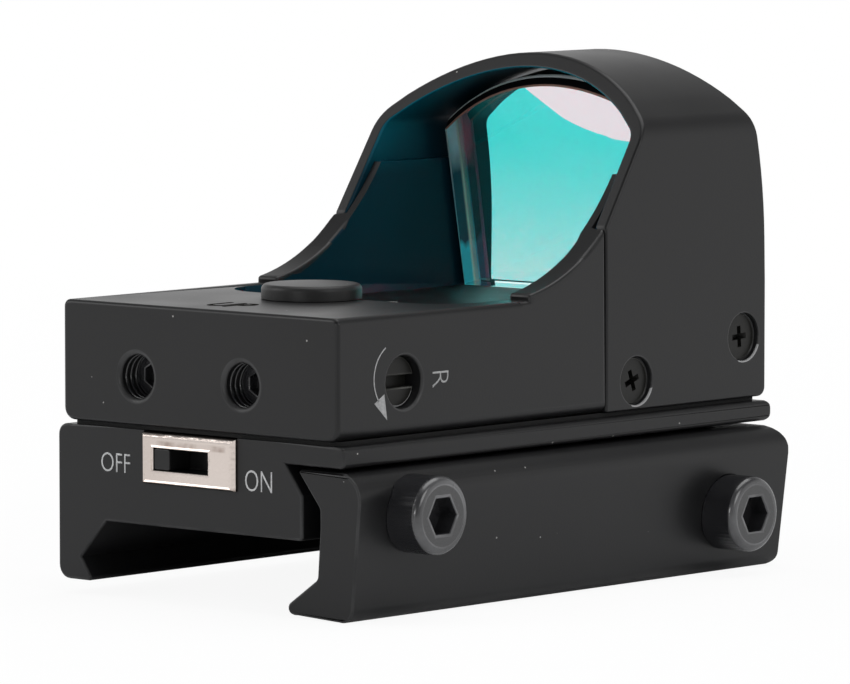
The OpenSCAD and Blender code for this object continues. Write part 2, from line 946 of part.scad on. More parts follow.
module led_carriage() {
    stem_room = stem_d / 2 + travel + free_gap;
    fork_rear = wind_pos - nut_half + free_gap;
    fork_root = wind_pos + nut_half + free_gap;
    prong = 1.3;
    fork_half = nut_l / 2 + slide_gap;
    plate_rear = fork_root + 0.6;
    seat_front = led_y + 1.6;
    plate_top = plate_z + plate_t;
    color([0.15, 0.15, 0.15])
        difference() {
            union() {
                block(-carriage_half, carriage_half, fork_root, seat_front, plate_z, plate_top);
                block(
                    nut_x - fork_half - prong, nut_x + fork_half + prong,
                    fork_rear, plate_rear, plate_z, plate_top
                );
                block(-led_seat_half, led_seat_half, led_y - 0.9, seat_front, plate_z, led_z + 0.6);
            }
            block(
                nut_x - fork_half, nut_x + fork_half,
                fork_rear - cut, fork_root, plate_z - cut, plate_top + cut
            );
            block(
                -stem_room, stem_room,
                dial_pos - stem_room, dial_pos + stem_room, plate_z - cut, plate_top + cut
            );
            block(
                -carriage_half - cut, carriage_half + cut,
                key_y - slide_gap, key_y + key_w + slide_gap, plate_z - cut, plate_z + key_h + slide_gap
            );
            translate([0, led_y, led_z])
                rotate([led_tilt - 90, 0, 0])
                    cylinder(d = led_d + 2 * run_gap, h = led_l + 2 * cut);
        }
}

module led_emitter() {
    color([0.85, 0.30, 0.28])
        translate([0, led_y, led_z])
            rotate([led_tilt - 90, 0, 0]) {
                translate([0, 0, fit_gap])
                    cylinder(d = led_d, h = led_l - led_d / 4);
                translate([0, 0, led_l - led_d / 4])
                    intersection() {
                        sphere(d = led_d);
                        cylinder(d = led_d, h = led_d);
                    }
            }
}

module windage_screw() {
    head_l = 1.8;
    slot_w = 0.6;
    slot_depth = 0.8;
    shank_end = nut_x - nut_l / 2 - travel - free_gap;
    head_x = wind_shoulder + fit_gap;
    color(dark_steel)
        difference() {
            union() {
                rod_x(head_x, head_x + head_l, wind_pos, wind_h, wind_d);
                rod_x(shank_end, head_x + fit_gap, wind_pos, wind_h, wind_thread_d);
            }
            block(
                head_x + head_l - slot_depth, head_x + head_l + cut,
                wind_pos - wind_d, wind_pos + wind_d, wind_h - slot_w / 2, wind_h + slot_w / 2
            );
        }
}

module windage_clip() {
    color(nickel)
        translate([cavity_right, wind_pos, wind_h])
            rotate([0, 90, 0])
                ring_clip(wind_thread_d);
}

module windage_nut() {
    color(brass)
        difference() {
            block(
                nut_x - nut_l / 2, nut_x + nut_l / 2,
                wind_pos - nut_half, wind_pos + nut_half, ledge_z + free_gap, ceiling_z - free_gap
            );
            rod_x(nut_x - nut_l, nut_x + nut_l, wind_pos, wind_h, wind_thread_d + 2 * run_gap);
        }
}

grub_l = 1.55;
grub_recess = 1.7;
pad_head = 0.9;
pad_d = 2;
grub_y = rear_y + grub_recess;
pad_y = grub_y + grub_l + fit_gap;

module grub_screw(x) {
    hex = 1.5;
    depth = 0.8;
    translate([x, grub_y, lock_h])
        rotate([-90, 0, 0])
            difference() {
                cylinder(d = lock_d, h = grub_l);
                translate([0, 0, -cut])
                    rotate(30)
                        cylinder(d = hex / cos(30), h = depth + cut, $fn = 6);
            }
}

module lock_pad(x, reach) {
    rod_y(pad_y, pad_y + pad_head, x, lock_h, lock_d - 2 * run_gap);
    rod_y(pad_y + pad_head / 2, reach, x, lock_h, pad_d);
}

module lock_screw_left() {
    color(dark_steel)
        grub_screw(-lock_left_x);
}

module lock_pad_left() {
    color(brass)
        lock_pad(-lock_left_x, slide_rear - 2 * slide_gap);
}

module lock_screw_right() {
    color(dark_steel)
        grub_screw(lock_right_x);
}

module lock_pad_right() {
    color(brass)
        lock_pad(lock_right_x, wind_pos - wind_thread_d / 2 - 2 * slide_gap);
}

mount_base();
base_gasket();
clamp_jaw();
clamp_screw_rear();
clamp_screw_front();
switch_frame();
switch_housing();
switch_knob();
switch_terminals();
coin_cell();
cell_contact();
cell_spring();
circuit_board();
body_screws();
sight_body();
hood();
hood_screws();
lens_rear();
lens_front();
elevation_dial();
dial_clip();
elevation_slide();
led_carriage();
led_emitter();
windage_screw();
windage_clip();
windage_nut();
lock_screw_left();
lock_pad_left();
lock_screw_right();
lock_pad_right();
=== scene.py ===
# %% [markdown]
# # A red dot finder on a rail clamp
# This lesson dresses a CAD model in Blender: a small reflex sight with an open deck, a hood over a tilted
# coated lens, a slide switch and a clamp foot. The CAD pieces are exact but sharp edged and bare. Here
# they get the softened edges of tumbled aluminium, their finishes, their markings and their light.

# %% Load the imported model
import bmesh
import bpy
import json
import math
from mathutils import Matrix, Vector


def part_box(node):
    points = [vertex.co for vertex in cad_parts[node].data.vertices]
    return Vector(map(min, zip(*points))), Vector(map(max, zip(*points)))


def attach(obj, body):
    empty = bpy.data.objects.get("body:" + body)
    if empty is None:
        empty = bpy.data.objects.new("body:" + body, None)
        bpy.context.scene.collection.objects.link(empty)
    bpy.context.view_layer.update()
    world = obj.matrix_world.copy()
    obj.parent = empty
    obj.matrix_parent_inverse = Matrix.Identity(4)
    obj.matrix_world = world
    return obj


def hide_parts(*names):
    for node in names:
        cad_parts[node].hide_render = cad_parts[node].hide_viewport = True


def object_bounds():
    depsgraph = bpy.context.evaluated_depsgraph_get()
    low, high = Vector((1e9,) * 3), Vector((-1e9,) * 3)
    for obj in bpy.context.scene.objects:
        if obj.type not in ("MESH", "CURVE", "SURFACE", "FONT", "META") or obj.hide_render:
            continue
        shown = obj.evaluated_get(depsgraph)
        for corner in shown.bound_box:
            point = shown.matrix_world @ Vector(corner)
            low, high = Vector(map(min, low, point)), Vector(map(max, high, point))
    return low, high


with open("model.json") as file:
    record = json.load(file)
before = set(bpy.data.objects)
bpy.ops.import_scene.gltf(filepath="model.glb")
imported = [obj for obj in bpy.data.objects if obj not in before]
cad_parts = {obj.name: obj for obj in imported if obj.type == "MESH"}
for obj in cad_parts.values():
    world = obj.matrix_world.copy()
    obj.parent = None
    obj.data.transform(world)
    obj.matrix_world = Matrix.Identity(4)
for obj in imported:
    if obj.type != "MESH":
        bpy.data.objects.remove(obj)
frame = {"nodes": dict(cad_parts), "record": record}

cad_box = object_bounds()
MM = 0.001

# %% [markdown]
# ## Camera
# The photograph looks at the rear right corner from a little above, and parallel edges stay nearly
# parallel in it. That takes a long lens, so the camera stands half a metre from the small part. A
# constraint could aim it, but its measured turn and rise give its three directions at once, and they go
# straight into its matrix.

# %% Camera
TURN = math.radians(41.49)
RISE = math.radians(4.95)
STAND = Vector((0.33025, -0.37294, 0.05491))
back = Vector((math.sin(TURN) * math.cos(RISE), -math.cos(TURN) * math.cos(RISE), math.sin(RISE)))
right = Vector((math.cos(TURN), math.sin(TURN), 0))
up = back.cross(right)
bpy.ops.object.camera_add(location=STAND)
camera = bpy.context.object
camera.matrix_world = Matrix.Translation(STAND) @ Matrix((right, up, back)).transposed().to_4x4()
camera.data.lens = 292.2
camera.data.sensor_width = 36
camera.data.clip_start = 0.01
bpy.context.scene.camera = camera
print("camera stands", round(STAND.length, 3), "m from the part")

# %% [markdown]
# ## Studio
# The photograph has a white ground and soft light. Strong lamps would make the floor white too, but they
# would wash out the black metal. So the world and the floor are white only where the camera, the glass or
# a mirror looks at them, and the light on the part stays at a plain level. Reflections see a room that is
# white round the horizon, grey overhead and dark behind the camera, which keeps the black metal black.

# %% Helpers for shader nodes
def put(tree, kind, inputs=None, **settings):
    node = tree.nodes.new(kind)
    for name, value in settings.items():
        setattr(node, name, value)
    for name, value in (inputs or {}).items():
        if isinstance(value, bpy.types.NodeSocket):
            tree.links.new(value, node.inputs[name])
        else:
            node.inputs[name].default_value = value
    return node


def calc(tree, operation, first, second):
    return put(tree, "ShaderNodeMath", {0: first, 1: second}, operation=operation).outputs[0]


def ramp(tree, value, low, high, start, end):
    limits = {"From Min": low, "From Max": high, "To Min": start, "To Max": end}
    return put(tree, "ShaderNodeMapRange", {"Value": value, **limits}).outputs[0]


def place_in(tree, kind="Object"):
    return put(tree, "ShaderNodeTexCoord").outputs[kind]


def split_place(tree, kind="Object"):
    return put(tree, "ShaderNodeSeparateXYZ", {"Vector": place_in(tree, kind)}).outputs


def along(tree, direction, kind="Object"):
    inputs = {0: place_in(tree, kind), 1: direction}
    return put(tree, "ShaderNodeVectorMath", inputs, operation="DOT_PRODUCT").outputs["Value"]


def blank_tree(owner):
    owner.use_nodes = True
    owner.node_tree.nodes.clear()
    return owner.node_tree


print("helpers for shader nodes are ready")

# %% White room
def seen_plainly(tree):
    rays = put(tree, "ShaderNodeLightPath").outputs
    plain = calc(tree, "MAXIMUM", rays["Is Camera Ray"], rays["Is Transmission Ray"])
    return plain, rays["Is Glossy Ray"]


DARK_SIDE = (0.66, -0.75, 0.05)
scene = bpy.context.scene
scene.view_settings.view_transform = "Standard"
scene.world = bpy.data.worlds.new("White room")
tree = blank_tree(scene.world)
plain, glossy = seen_plainly(tree)
overhead = ramp(tree, split_place(tree, "Generated")["Z"], 0.22, 0.6, 1.0, 0.22)
dim_side = ramp(tree, along(tree, DARK_SIDE, "Generated"), 0.25, 0.7, 1.0, 0.25)
room = calc(tree, "MAXIMUM", calc(tree, "MULTIPLY", overhead, dim_side), plain)
fill = put(tree, "ShaderNodeBackground", {"Color": (0.95, 0.97, 1, 1), "Strength": 0.4})
white = put(tree, "ShaderNodeBackground", {"Color": (1, 1, 1, 1), "Strength": room})
looked_at = calc(tree, "MAXIMUM", plain, glossy)
both = put(tree, "ShaderNodeMixShader", {0: looked_at, 1: fill.outputs[0], 2: white.outputs[0]})
put(tree, "ShaderNodeOutputWorld", {"Surface": both.outputs[0]})
print("world:", scene.world.name, "with", len(tree.nodes), "nodes")

# %% White floor
def start_piece(name, add, **settings):
    bpy.ops.object.select_all(action="DESELECT")
    add(**settings)
    piece = bpy.context.object
    piece.name = name
    return piece


FLOOR_Z = cad_box[0][2] - 0.02 * MM
floor = start_piece("floor", bpy.ops.mesh.primitive_plane_add, size=6, location=(0, 0, FLOOR_Z))
paper = bpy.data.materials.new("White paper")
tree = blank_tree(paper)
lit = put(tree, "ShaderNodeBsdfDiffuse", {"Color": (0.9, 0.9, 0.9, 1)})
glow = put(tree, "ShaderNodeEmission", {"Color": (1, 1, 1, 1), "Strength": 1.0})
plain, glossy = seen_plainly(tree)
away = put(tree, "ShaderNodeVectorMath", {0: place_in(tree)}, operation="LENGTH").outputs["Value"]
seen = calc(tree, "MULTIPLY", plain, ramp(tree, away, 0.05, 0.3, 0.92, 1.0))
mirrored = calc(tree, "MULTIPLY", glossy, ramp(tree, away, 0.02, 0.1, 0.0, 0.95))
self_lit = calc(tree, "MAXIMUM", seen, mirrored)
ground = put(tree, "ShaderNodeMixShader", {0: self_lit, 1: lit.outputs[0], 2: glow.outputs[0]})
put(tree, "ShaderNodeOutputMaterial", {"Surface": ground.outputs[0]})
floor.data.materials.append(paper)
print("floor lies at", round(FLOOR_Z / MM, 2), "mm")

# %% Lamps
LAMP_AIM = Vector((0, 0, 0.01))


def soft_box(name, place, size, power):
    lamp = start_piece(name, bpy.ops.object.light_add, type="AREA", location=place)
    lamp.data.size = size
    lamp.data.energy = power
    lamp.rotation_euler = (LAMP_AIM - Vector(place)).to_track_quat("-Z", "Y").to_euler()


soft_box("top_box", (0.0, 0.15, 0.75), 0.7, 3.5)
soft_box("left_box", (-0.6, -0.5, 0.45), 0.4, 1.5)
soft_box("right_box", (0.75, -0.05, 0.4), 0.4, 1.5)
soft_box("rear_box", (0.16, -0.76, 0.14), 0.12, 0.6)

# %% [markdown]
# ## Shared surface effects
# Three effects repeat over the part's finishes. Each material could hold its own copy, but as node groups
# with named inputs they are built once and tuned in each place. Blast grain is the fine tooth that bead
# blasting leaves under the black. Dust specks are the few pale points that every studio photograph of
# black metal shows. Worn and highlighted edges brightens the softened edges, which a face attribute marks:
# the bright tone is partly wear and partly a painted highlight where the edges catch the light.

# %% Blast grain
def new_group(name, inputs, outputs):
    group = bpy.data.node_groups.new(name, "ShaderNodeTree")
    for label, low, high, start in inputs:
        socket = group.interface.new_socket(label, in_out="INPUT", socket_type="NodeSocketFloat")
        socket.min_value, socket.max_value, socket.default_value = low, high, start
    for label in outputs:
        group.interface.new_socket(label, in_out="OUTPUT", socket_type="NodeSocketFloat")
    return group, put(group, "NodeGroupInput").outputs, put(group, "NodeGroupOutput").inputs


def noise(tree, scale, detail, **more):
    inputs = {"Vector": place_in(tree), "Scale": scale, "Detail": detail, **more}
    return put(tree, "ShaderNodeTexNoise", inputs).outputs[0]


grain_group, given, result = new_group(
    "Blast grain", [("Per metre", 1, 20000, 5000), ("Patch per metre", 1, 2000, 90)], ["Height", "Tone"])
fine = noise(grain_group, given["Per metre"], 3.0, Roughness=0.65)
patch = noise(grain_group, given["Patch per metre"], 2.0)
grain_group.links.new(fine, result["Height"])
grain_group.links.new(patch, result["Tone"])
print("group:", grain_group.name)

# %% Dust specks
speck_group, given, result = new_group(
    "Dust specks", [("Per metre", 1, 5000, 870), ("Size", 0, 1, 0.06), ("Rarity", 0, 1, 0.9)], ["Mask"])
cells = put(speck_group, "ShaderNodeTexVoronoi", {
    "Vector": place_in(speck_group), "Scale": given["Per metre"]})
lot = put(speck_group, "ShaderNodeSeparateColor", {"Color": cells.outputs["Color"]})
spot = calc(speck_group, "LESS_THAN", cells.outputs["Distance"], given["Size"])
chosen = calc(speck_group, "GREATER_THAN", lot.outputs["Red"], given["Rarity"])
speck_group.links.new(calc(speck_group, "MULTIPLY", spot, chosen), result["Mask"])
print("group:", speck_group.name)

# %% Worn edges
# the mask brightens edges for wear and also paints a highlight where the edges catch the light
wear_and_highlight_group, given, result = new_group(
    "Worn and highlighted edges", [("Per metre", 1, 5000, 260), ("Amount", 0, 1, 0.5)], ["Mask"])
rubbed = ramp(wear_and_highlight_group, noise(wear_and_highlight_group, given["Per metre"], 4.0), 0.4, 0.65, 0.25, 1.0)
marked = put(wear_and_highlight_group, "ShaderNodeAttribute", attribute_name="edge").outputs["Fac"]
on_edge = calc(wear_and_highlight_group, "MULTIPLY", rubbed, marked)
wear_and_highlight_group.links.new(calc(wear_and_highlight_group, "MULTIPLY", on_edge, given["Amount"]), result["Mask"])
print("group:", wear_and_highlight_group.name)

# %% [markdown]
# ## Black finishes
# Black anodised aluminium is dark but not dull. A grey colour would look like plastic, so the colour is
# nearly black, and its grey haze comes from a satin gloss: the roughness decides how much of the white
# room it shows. The screws' black oxide, the nylon slider and the rubber seal differ from it only in their
# values, so one function makes them all.

# %% Helpers for finishes
def start_finish(name, roughness, **sockets):
    material = bpy.data.materials.new(name)
    tree = blank_tree(material)
    fixed = {label.replace("_", " "): value for label, value in sockets.items()}
    shader = put(tree, "ShaderNodeBsdfPrincipled", {"Roughness": roughness, **fixed})
    put(tree, "ShaderNodeOutputMaterial", {"Surface": shader.outputs[0]})
    return material, tree, shader.inputs


def mix_colour(tree, share, first, second):
    return put(tree, "ShaderNodeMix", {0: share, 6: first, 7: second}, data_type="RGBA").outputs[2]


def use_group(tree, group, **inputs):
    labels = {label.replace("_", " "): value for label, value in inputs.items()}
    return put(tree, "ShaderNodeGroup", labels, node_tree=group)


def satin(tree, shader, tooth, rough, bump, depth):
    gloss = ramp(tree, tooth.outputs["Tone"], 0.3, 0.7, *rough)
    dents = put(tree, "ShaderNodeBump", {
        "Height": tooth.outputs["Height"], "Strength": bump, "Distance": depth * MM})
    tree.links.new(gloss, shader["Roughness"])
    tree.links.new(dents.outputs[0], shader["Normal"])


def grey(value):
    return (value, value, value)


print("helpers for finishes are ready")

# %% Black finishes
SPECK = (0.35, 0.34, 0.33, 1)
TOOTH_DEPTH = 0.02


def black_finish(name, dark, pale, rough, grain, bump, wear, worn, specks=True, shine=0.3, tint=None):
    material, tree, shader = start_finish(name, rough[0], Specular_IOR_Level=shine)
    tooth = use_group(tree, grain_group, Per_metre=grain)
    colour = mix_colour(tree, tooth.outputs["Tone"], (*dark, 1), (*pale, 1))
    rubbed = use_group(tree, wear_and_highlight_group, Amount=wear)
    colour = mix_colour(tree, rubbed.outputs["Mask"], colour, (*worn, 1))
    if specks:
        colour = mix_colour(tree, use_group(tree, speck_group).outputs["Mask"], colour, SPECK)
    if tint:
        colour = tint(tree, colour)
    tree.links.new(colour, shader["Base Color"])
    satin(tree, shader, tooth, rough, bump, TOOTH_DEPTH)
    return material


anodised = black_finish(
    "Black anodised aluminium", (0.006, 0.006, 0.0065), (0.011, 0.011, 0.0115), (0.32, 0.42),
    grain=6000, bump=0.3, wear=0.5, worn=grey(0.10))
black_oxide = black_finish(
    "Black oxide steel", (0.010, 0.010, 0.011), (0.017, 0.017, 0.019), (0.2, 0.3),
    grain=3500, bump=0.2, wear=0.8, worn=(0.34, 0.34, 0.35), specks=False, shine=0.85)
dark_steel = black_finish(
    "Dull dark steel", (0.004, 0.004, 0.0035), (0.010, 0.0095, 0.008), (0.34, 0.46),
    grain=3500, bump=0.3, wear=0.9, worn=(0.12, 0.12, 0.11), specks=False, shine=0.25)
dial_black = black_finish(
    "Satin black dial", grey(0.012), grey(0.019), (0.34, 0.44),
    grain=6000, bump=0.3, wear=0.3, worn=grey(0.08))
# painted shade: a duller, less glossy black stands for the shade that falls in the channel
shaded_channel_black = black_finish(
    "Shaded channel floor", grey(0.006), grey(0.010), (0.36, 0.46),
    grain=6000, bump=0.3, wear=0.0, worn=grey(0.02), shine=0.12)
# painted glint: a bright grey for the lower rims of screw seats, partly rubbed metal and partly caught light
glint = black_finish(
    "Rubbed edge with painted glint", grey(0.16), grey(0.42), (0.3, 0.4),
    grain=3500, bump=0.2, wear=0.0, worn=grey(0.3), specks=False, shine=0.6)
nylon = black_finish(
    "Moulded black nylon", grey(0.006), grey(0.010), (0.25, 0.35),
    grain=2500, bump=0.3, wear=0.3, worn=grey(0.09), specks=False)
rubber = black_finish(
    "Die-cut rubber", grey(0.008), grey(0.012), (0.75, 0.85),
    grain=3000, bump=0.5, wear=0.0, worn=grey(0.02), specks=False)
print("black finishes:", anodised.name, black_oxide.name, nylon.name, rubber.name)

# %% [markdown]
# The hood is painted dull inside, and the coated lens throws its teal light on the paint. Light bounced
# off a shader that filters would need many samples, so that teal light is painted into the lining's colour:
# deep on the walls, a little lighter ahead of the lens, and brightest under the rear of the crown.

# %% Hood lining
# painted light: the lens's teal light is painted into the lining's colour, stronger ahead of the lens and
# under the crown
def teal_light(tree, colour):
    where = split_place(tree)
    daylight = ramp(tree, where["Y"], 18 * MM, 21 * MM, 0.0, 1.0)
    crown = ramp(tree, where["Z"], 23 * MM, 31 * MM, 0.0, 1.0)
    ceiling = calc(tree, "MULTIPLY", crown, ramp(tree, where["Y"], 8 * MM, 15 * MM, 1.0, 0.0))
    colour = mix_colour(tree, daylight, colour, (0.0, 0.045, 0.048, 1))
    return mix_colour(tree, ceiling, colour, (0.0, 0.2, 0.28, 1))


# its teal base colour is painted light from the coated lens
lining_painted_teal = black_finish(
    "Hood lining, painted teal light", (0.001, 0.016, 0.028), (0.002, 0.028, 0.044), (0.3, 0.4),
    grain=6000, bump=0.2, wear=0.1, worn=(0.01, 0.03, 0.04), specks=False, shine=0.08, tint=teal_light)
print("lining:", lining_painted_teal.name)

# %% [markdown]
# ## Bright metals
# The switch frame is plated sheet: its face is wavy, and it turns brown above the slot and along its foot.
# A mirror of one colour would look like a render, so a broad bump bends its reflections, and soft masks in
# Object coordinates carry the brown. The hidden springs and brass pieces are plain.

# %% Nickel, spring steel and brass
def metal_finish(name, dark, pale, rough, grain, bump, depth=0.03, tint=None):
    material, tree, shader = start_finish(name, rough[0], Metallic=1.0)
    tooth = use_group(tree, grain_group, Per_metre=grain, Patch_per_metre=grain / 6)
    colour = mix_colour(tree, tooth.outputs["Tone"], (*dark, 1), (*pale, 1))
    if tint:
        colour = tint(tree, colour)
    tree.links.new(colour, shader["Base Color"])
    satin(tree, shader, tooth, rough, bump, depth)
    return material


def belt(tree, value, low, high, soft):
    rise = ramp(tree, value, (low - soft) * MM, low * MM, 0.0, 1.0)
    return calc(tree, "MULTIPLY", rise, ramp(tree, value, high * MM, (high + soft) * MM, 1.0, 0.0))


# the frame turns brown above the slot and along its foot, in uneven blotches
def brown_above_slot_and_foot(tree, bright):
    where = split_place(tree)
    blotch = use_group(tree, grain_group, Per_metre=2000, Patch_per_metre=600)
    high_belt = belt(tree, where["Z"], 5.8, 6.05, 0.15)
    above = calc(tree, "MULTIPLY", high_belt, belt(tree, where["X"], -3.2, 2.4, 0.6))
    below = calc(tree, "MULTIPLY", ramp(tree, where["Z"], 3.12 * MM, 3.32 * MM, 1.0, 0.0), 0.8)
    uneven = ramp(tree, blotch.outputs["Tone"], 0.35, 0.6, 0.1, 0.9)
    brown_share = calc(tree, "MULTIPLY", calc(tree, "MAXIMUM", above, below), uneven)
    return mix_colour(tree, brown_share, bright, (0.20, 0.13, 0.10, 1))


nickel = metal_finish(
    "Bright nickel plate", (0.52, 0.45, 0.41), (0.76, 0.68, 0.63), (0.14, 0.24),
    grain=420, bump=0.8, depth=0.12, tint=brown_above_slot_and_foot)
spring_steel = metal_finish("Spring steel", grey(0.5), grey(0.6), (0.25, 0.4), grain=2500, bump=0.2)
brass = metal_finish(
    "Machined brass", (0.6, 0.43, 0.18), (0.7, 0.52, 0.25), (0.25, 0.38), grain=2500, bump=0.2)
print("bright metals:", nickel.name, spring_steel.name, brass.name)

# %% [markdown]
# ## Board, resin and ink
# The driver board, the emitter's clear resin and the printed marks each show two close tones in small
# clouds. Printed ink could be a flat colour, but a thin film lets the black through in places, so its two
# tones lie far apart. The dark mark on the deck is an engraving's painted shadow, so it gets no gloss at
# all.

# %% Board, resin and ink
def mottled_finish(name, rough, dark, pale, grain, patch, **sockets):
    material, tree, shader = start_finish(name, rough, **sockets)
    cloud = use_group(tree, grain_group, Per_metre=grain, Patch_per_metre=patch)
    tree.links.new(mix_colour(tree, cloud.outputs["Tone"], (*dark, 1), (*pale, 1)), shader["Base Color"])
    return material


board = mottled_finish("Solder mask", 0.35, (0.01, 0.09, 0.035), (0.02, 0.15, 0.06), 1800, 300)
resin = mottled_finish("Emitter resin", 0.25, (0.20, 0.195, 0.19), (0.32, 0.31, 0.30), 2500, 700)
paint = mottled_finish("White marking ink", 0.6, grey(0.3), grey(0.72), 9000, 4000)
faded = mottled_finish("Thin marking ink", 0.6, grey(0.18), grey(0.52), 9000, 4000)
# painted shadow: the dull dark of the engraving on the deck
pit_shadow = mottled_finish(
    "Engraved shadow", 0.8, grey(0.004), (0.02, 0.019, 0.016), 6000, 1500, Specular_IOR_Level=0.0)
print("other finishes:", board.name, resin.name, paint.name, faded.name, pit_shadow.name)

# %% [markdown]
# ## Glass finishes
# The lens is two glasses cemented together, with a coating between them that sends red light back to the
# eye and lets the rest through. So white seen through it turns teal, and white mirrored in it adds red,
# which gives the pale rose corner. Tinted glass would be teal from every side, so the glass itself is
# clear, and the coating is a shader of its own: a teal filter plus a red mirror.

# %% Clear glass and coating
lens_glass = mottled_finish(
    "Clear glass", 0.0, (0.93, 0.99, 0.98), (0.90, 0.98, 0.97), 50, 40,
    Transmission_Weight=1.0, IOR=1.5, Specular_Tint=(0.1, 0.1, 0.1, 1))

coating = bpy.data.materials.new("Red mirror coating")
tree = blank_tree(coating)
fade = ramp(tree, split_place(tree)["Z"], 14 * MM, 26 * MM, 0.0, 1.0)
passed = put(tree, "ShaderNodeBsdfTransparent", {
    "Color": mix_colour(tree, fade, (0.487, 0.86, 0.86, 1), (0.183, 0.81, 0.80, 1))})
mirror = put(tree, "ShaderNodeBsdfGlossy", {"Color": (0.76, 0.04, 0.08, 1), "Roughness": 0.0})
filtered = put(tree, "ShaderNodeAddShader", {0: passed.outputs[0], 1: mirror.outputs[0]})
put(tree, "ShaderNodeOutputMaterial", {"Surface": filtered.outputs[0]})
print("glass:", lens_glass.name, coating.name)

# %% [markdown]
# The lens's edges are ground, so they scatter light and don't show the inside of the block. The photograph
# has cyan at the foot of the rim, deep blue half way up and a pale top, and the front glass is greener. A
# ramp of colours over the height, made uneven by the grain, gives each of these edges its own run of
# tones. On the rim, the pale bevel and the polished edge, these tones are the scattered light painted into
# the colour.

# %% Lens edges
LENS_LEAN = math.radians(9.8)
LENS_Y, LENS_Z = 17.1, 14.38
CEMENT, STREAK = 2.4, 3.0


def by_height(tree, stops):
    streak = use_group(tree, grain_group, Per_metre=900, Patch_per_metre=350)
    uneven = put(tree, "ShaderNodeMath", {
        0: streak.outputs["Tone"], 1: STREAK * MM, 2: split_place(tree)["Z"]}, operation="MULTIPLY_ADD")
    low, high = stops[0][0], stops[-1][0]
    share = ramp(tree, uneven.outputs[0], low * MM, high * MM, 0.0, 1.0)
    tones = put(tree, "ShaderNodeValToRGB", {"Fac": share})
    scale = tones.color_ramp.elements
    while len(scale) < len(stops):
        scale.new(0.5)
    for mark, (height, colour) in zip(scale, stops):
        mark.position = (height - low) / (high - low)
        mark.color = (*colour, 1)
    return tones.outputs["Color"]


def front_glass(tree, rear_tone):
    depth = along(tree, (0, math.cos(LENS_LEAN), math.sin(LENS_LEAN)))
    foot = LENS_Y * MM * math.cos(LENS_LEAN) + LENS_Z * MM * math.sin(LENS_LEAN)
    ahead = ramp(tree, depth, foot + (CEMENT - 0.2) * MM, foot + (CEMENT + 0.2) * MM, 0.0, 1.0)
    green = by_height(tree, ((17, (0.5, 0.9, 0.75)), (26, (0.3, 0.5, 0.42))))
    return mix_colour(tree, ahead, rear_tone, green)


def rim_finish(name, rough, shine, stops, tint=None):
    material, tree, shader = start_finish(name, rough, Specular_IOR_Level=shine)
    colour = by_height(tree, stops)
    tree.links.new(tint(tree, colour) if tint else colour, shader["Base Color"])
    return material


PALE, DEEP, CYAN, WHITE = (0.5, 0.78, 0.85), (0.0, 0.06, 0.10), (0.05, 0.85, 1.0), (0.9, 1.0, 1.0)
# painted light: the tones of the rim, the pale bevel and the polished edge stand for light scattered in the
# ground glass
lens_rim = rim_finish("Ground lens rim", 0.5, 0.1, (
    (16, CYAN), (19.0, CYAN), (19.6, DEEP), (24.5, DEEP), (27, PALE)), tint=front_glass)
lens_band = rim_finish("Ground lens bevel", 0.4, 0.7, (
    (18, WHITE), (27, WHITE), (31, (0.66, 0.74, 0.75))))
lens_line = rim_finish("Polished lens edge", 0.2, 0.4, (
    (18, (0.25, 0.9, 1.0)), (22, (0.2, 0.5, 0.6)), (28, (0.4, 0.5, 0.5))))
lens_black = rim_finish("Blackened lens rim", 0.5, 0.05, (
    (18, (0.006, 0.006, 0.007)), (30, (0.003, 0.003, 0.004))))
lens_amber = rim_finish("Amber lens edge", 0.4, 0.1, (
    (18, (0.22, 0.13, 0.10)), (30, (0.26, 0.15, 0.12))))
print("lens edges:", lens_rim.name, lens_band.name, lens_line.name, lens_black.name, lens_amber.name)

# %% [markdown]
# ## Every CAD piece gets its finish
# The record names a material slot for each node. Pieces that stay as CAD solids take the finish of their
# slot, and a table from slot to finish keeps that in one place.

# %% Finishes by slot
FINISH = {
    "black_anodised": anodised, "black_steel": black_oxide, "nickel": nickel, "spring_steel": spring_steel,
    "black_plastic": nylon, "brass": brass, "rubber": rubber, "board": board, "lens_glass": lens_glass,
    "emitter": resin,
}
SLOT = {row["node"]: row["material_slot"] for row in frame["record"]["subparts"]}
for name, thing in frame["nodes"].items():
    for place in thing.material_slots:
        place.material = FINISH[SLOT[name]]
print("dressed:", len(SLOT), "nodes")

# %% [markdown]
# ## Softened edges
# Tumbling rounds every machined edge by a few tenths of a millimetre, and these thin curves catch the
# light. A Bevel modifier would round all edges alike. Here a copy of the CAD mesh is merged, its flat
# faces are joined, and only the chosen edges are bevelled. Each new face is marked as an edge for the
# wear and the painted highlight, and weighted normals keep the large faces flat.

# %% Copies of CAD pieces
BODY = {node: body for body, nodes in frame["record"]["behaviour"]["bodies"].items() for node in nodes}


def only(piece):
    if bpy.context.object and bpy.context.object.mode != "OBJECT":
        bpy.ops.object.mode_set(mode="OBJECT")
    bpy.ops.object.select_all(action="DESELECT")
    piece.select_set(True)
    bpy.context.view_layer.objects.active = piece


def edit_all(piece):
    only(piece)
    bpy.ops.object.mode_set(mode="EDIT")
    bpy.ops.mesh.select_all(action="SELECT")


def add_edge_marks(piece):
    piece.data.attributes.new("edge", "FLOAT", "FACE")


def copy_mesh(name, mesh):
    piece = bpy.data.objects.new(name, mesh.copy())
    scene.collection.objects.link(piece)
    return piece


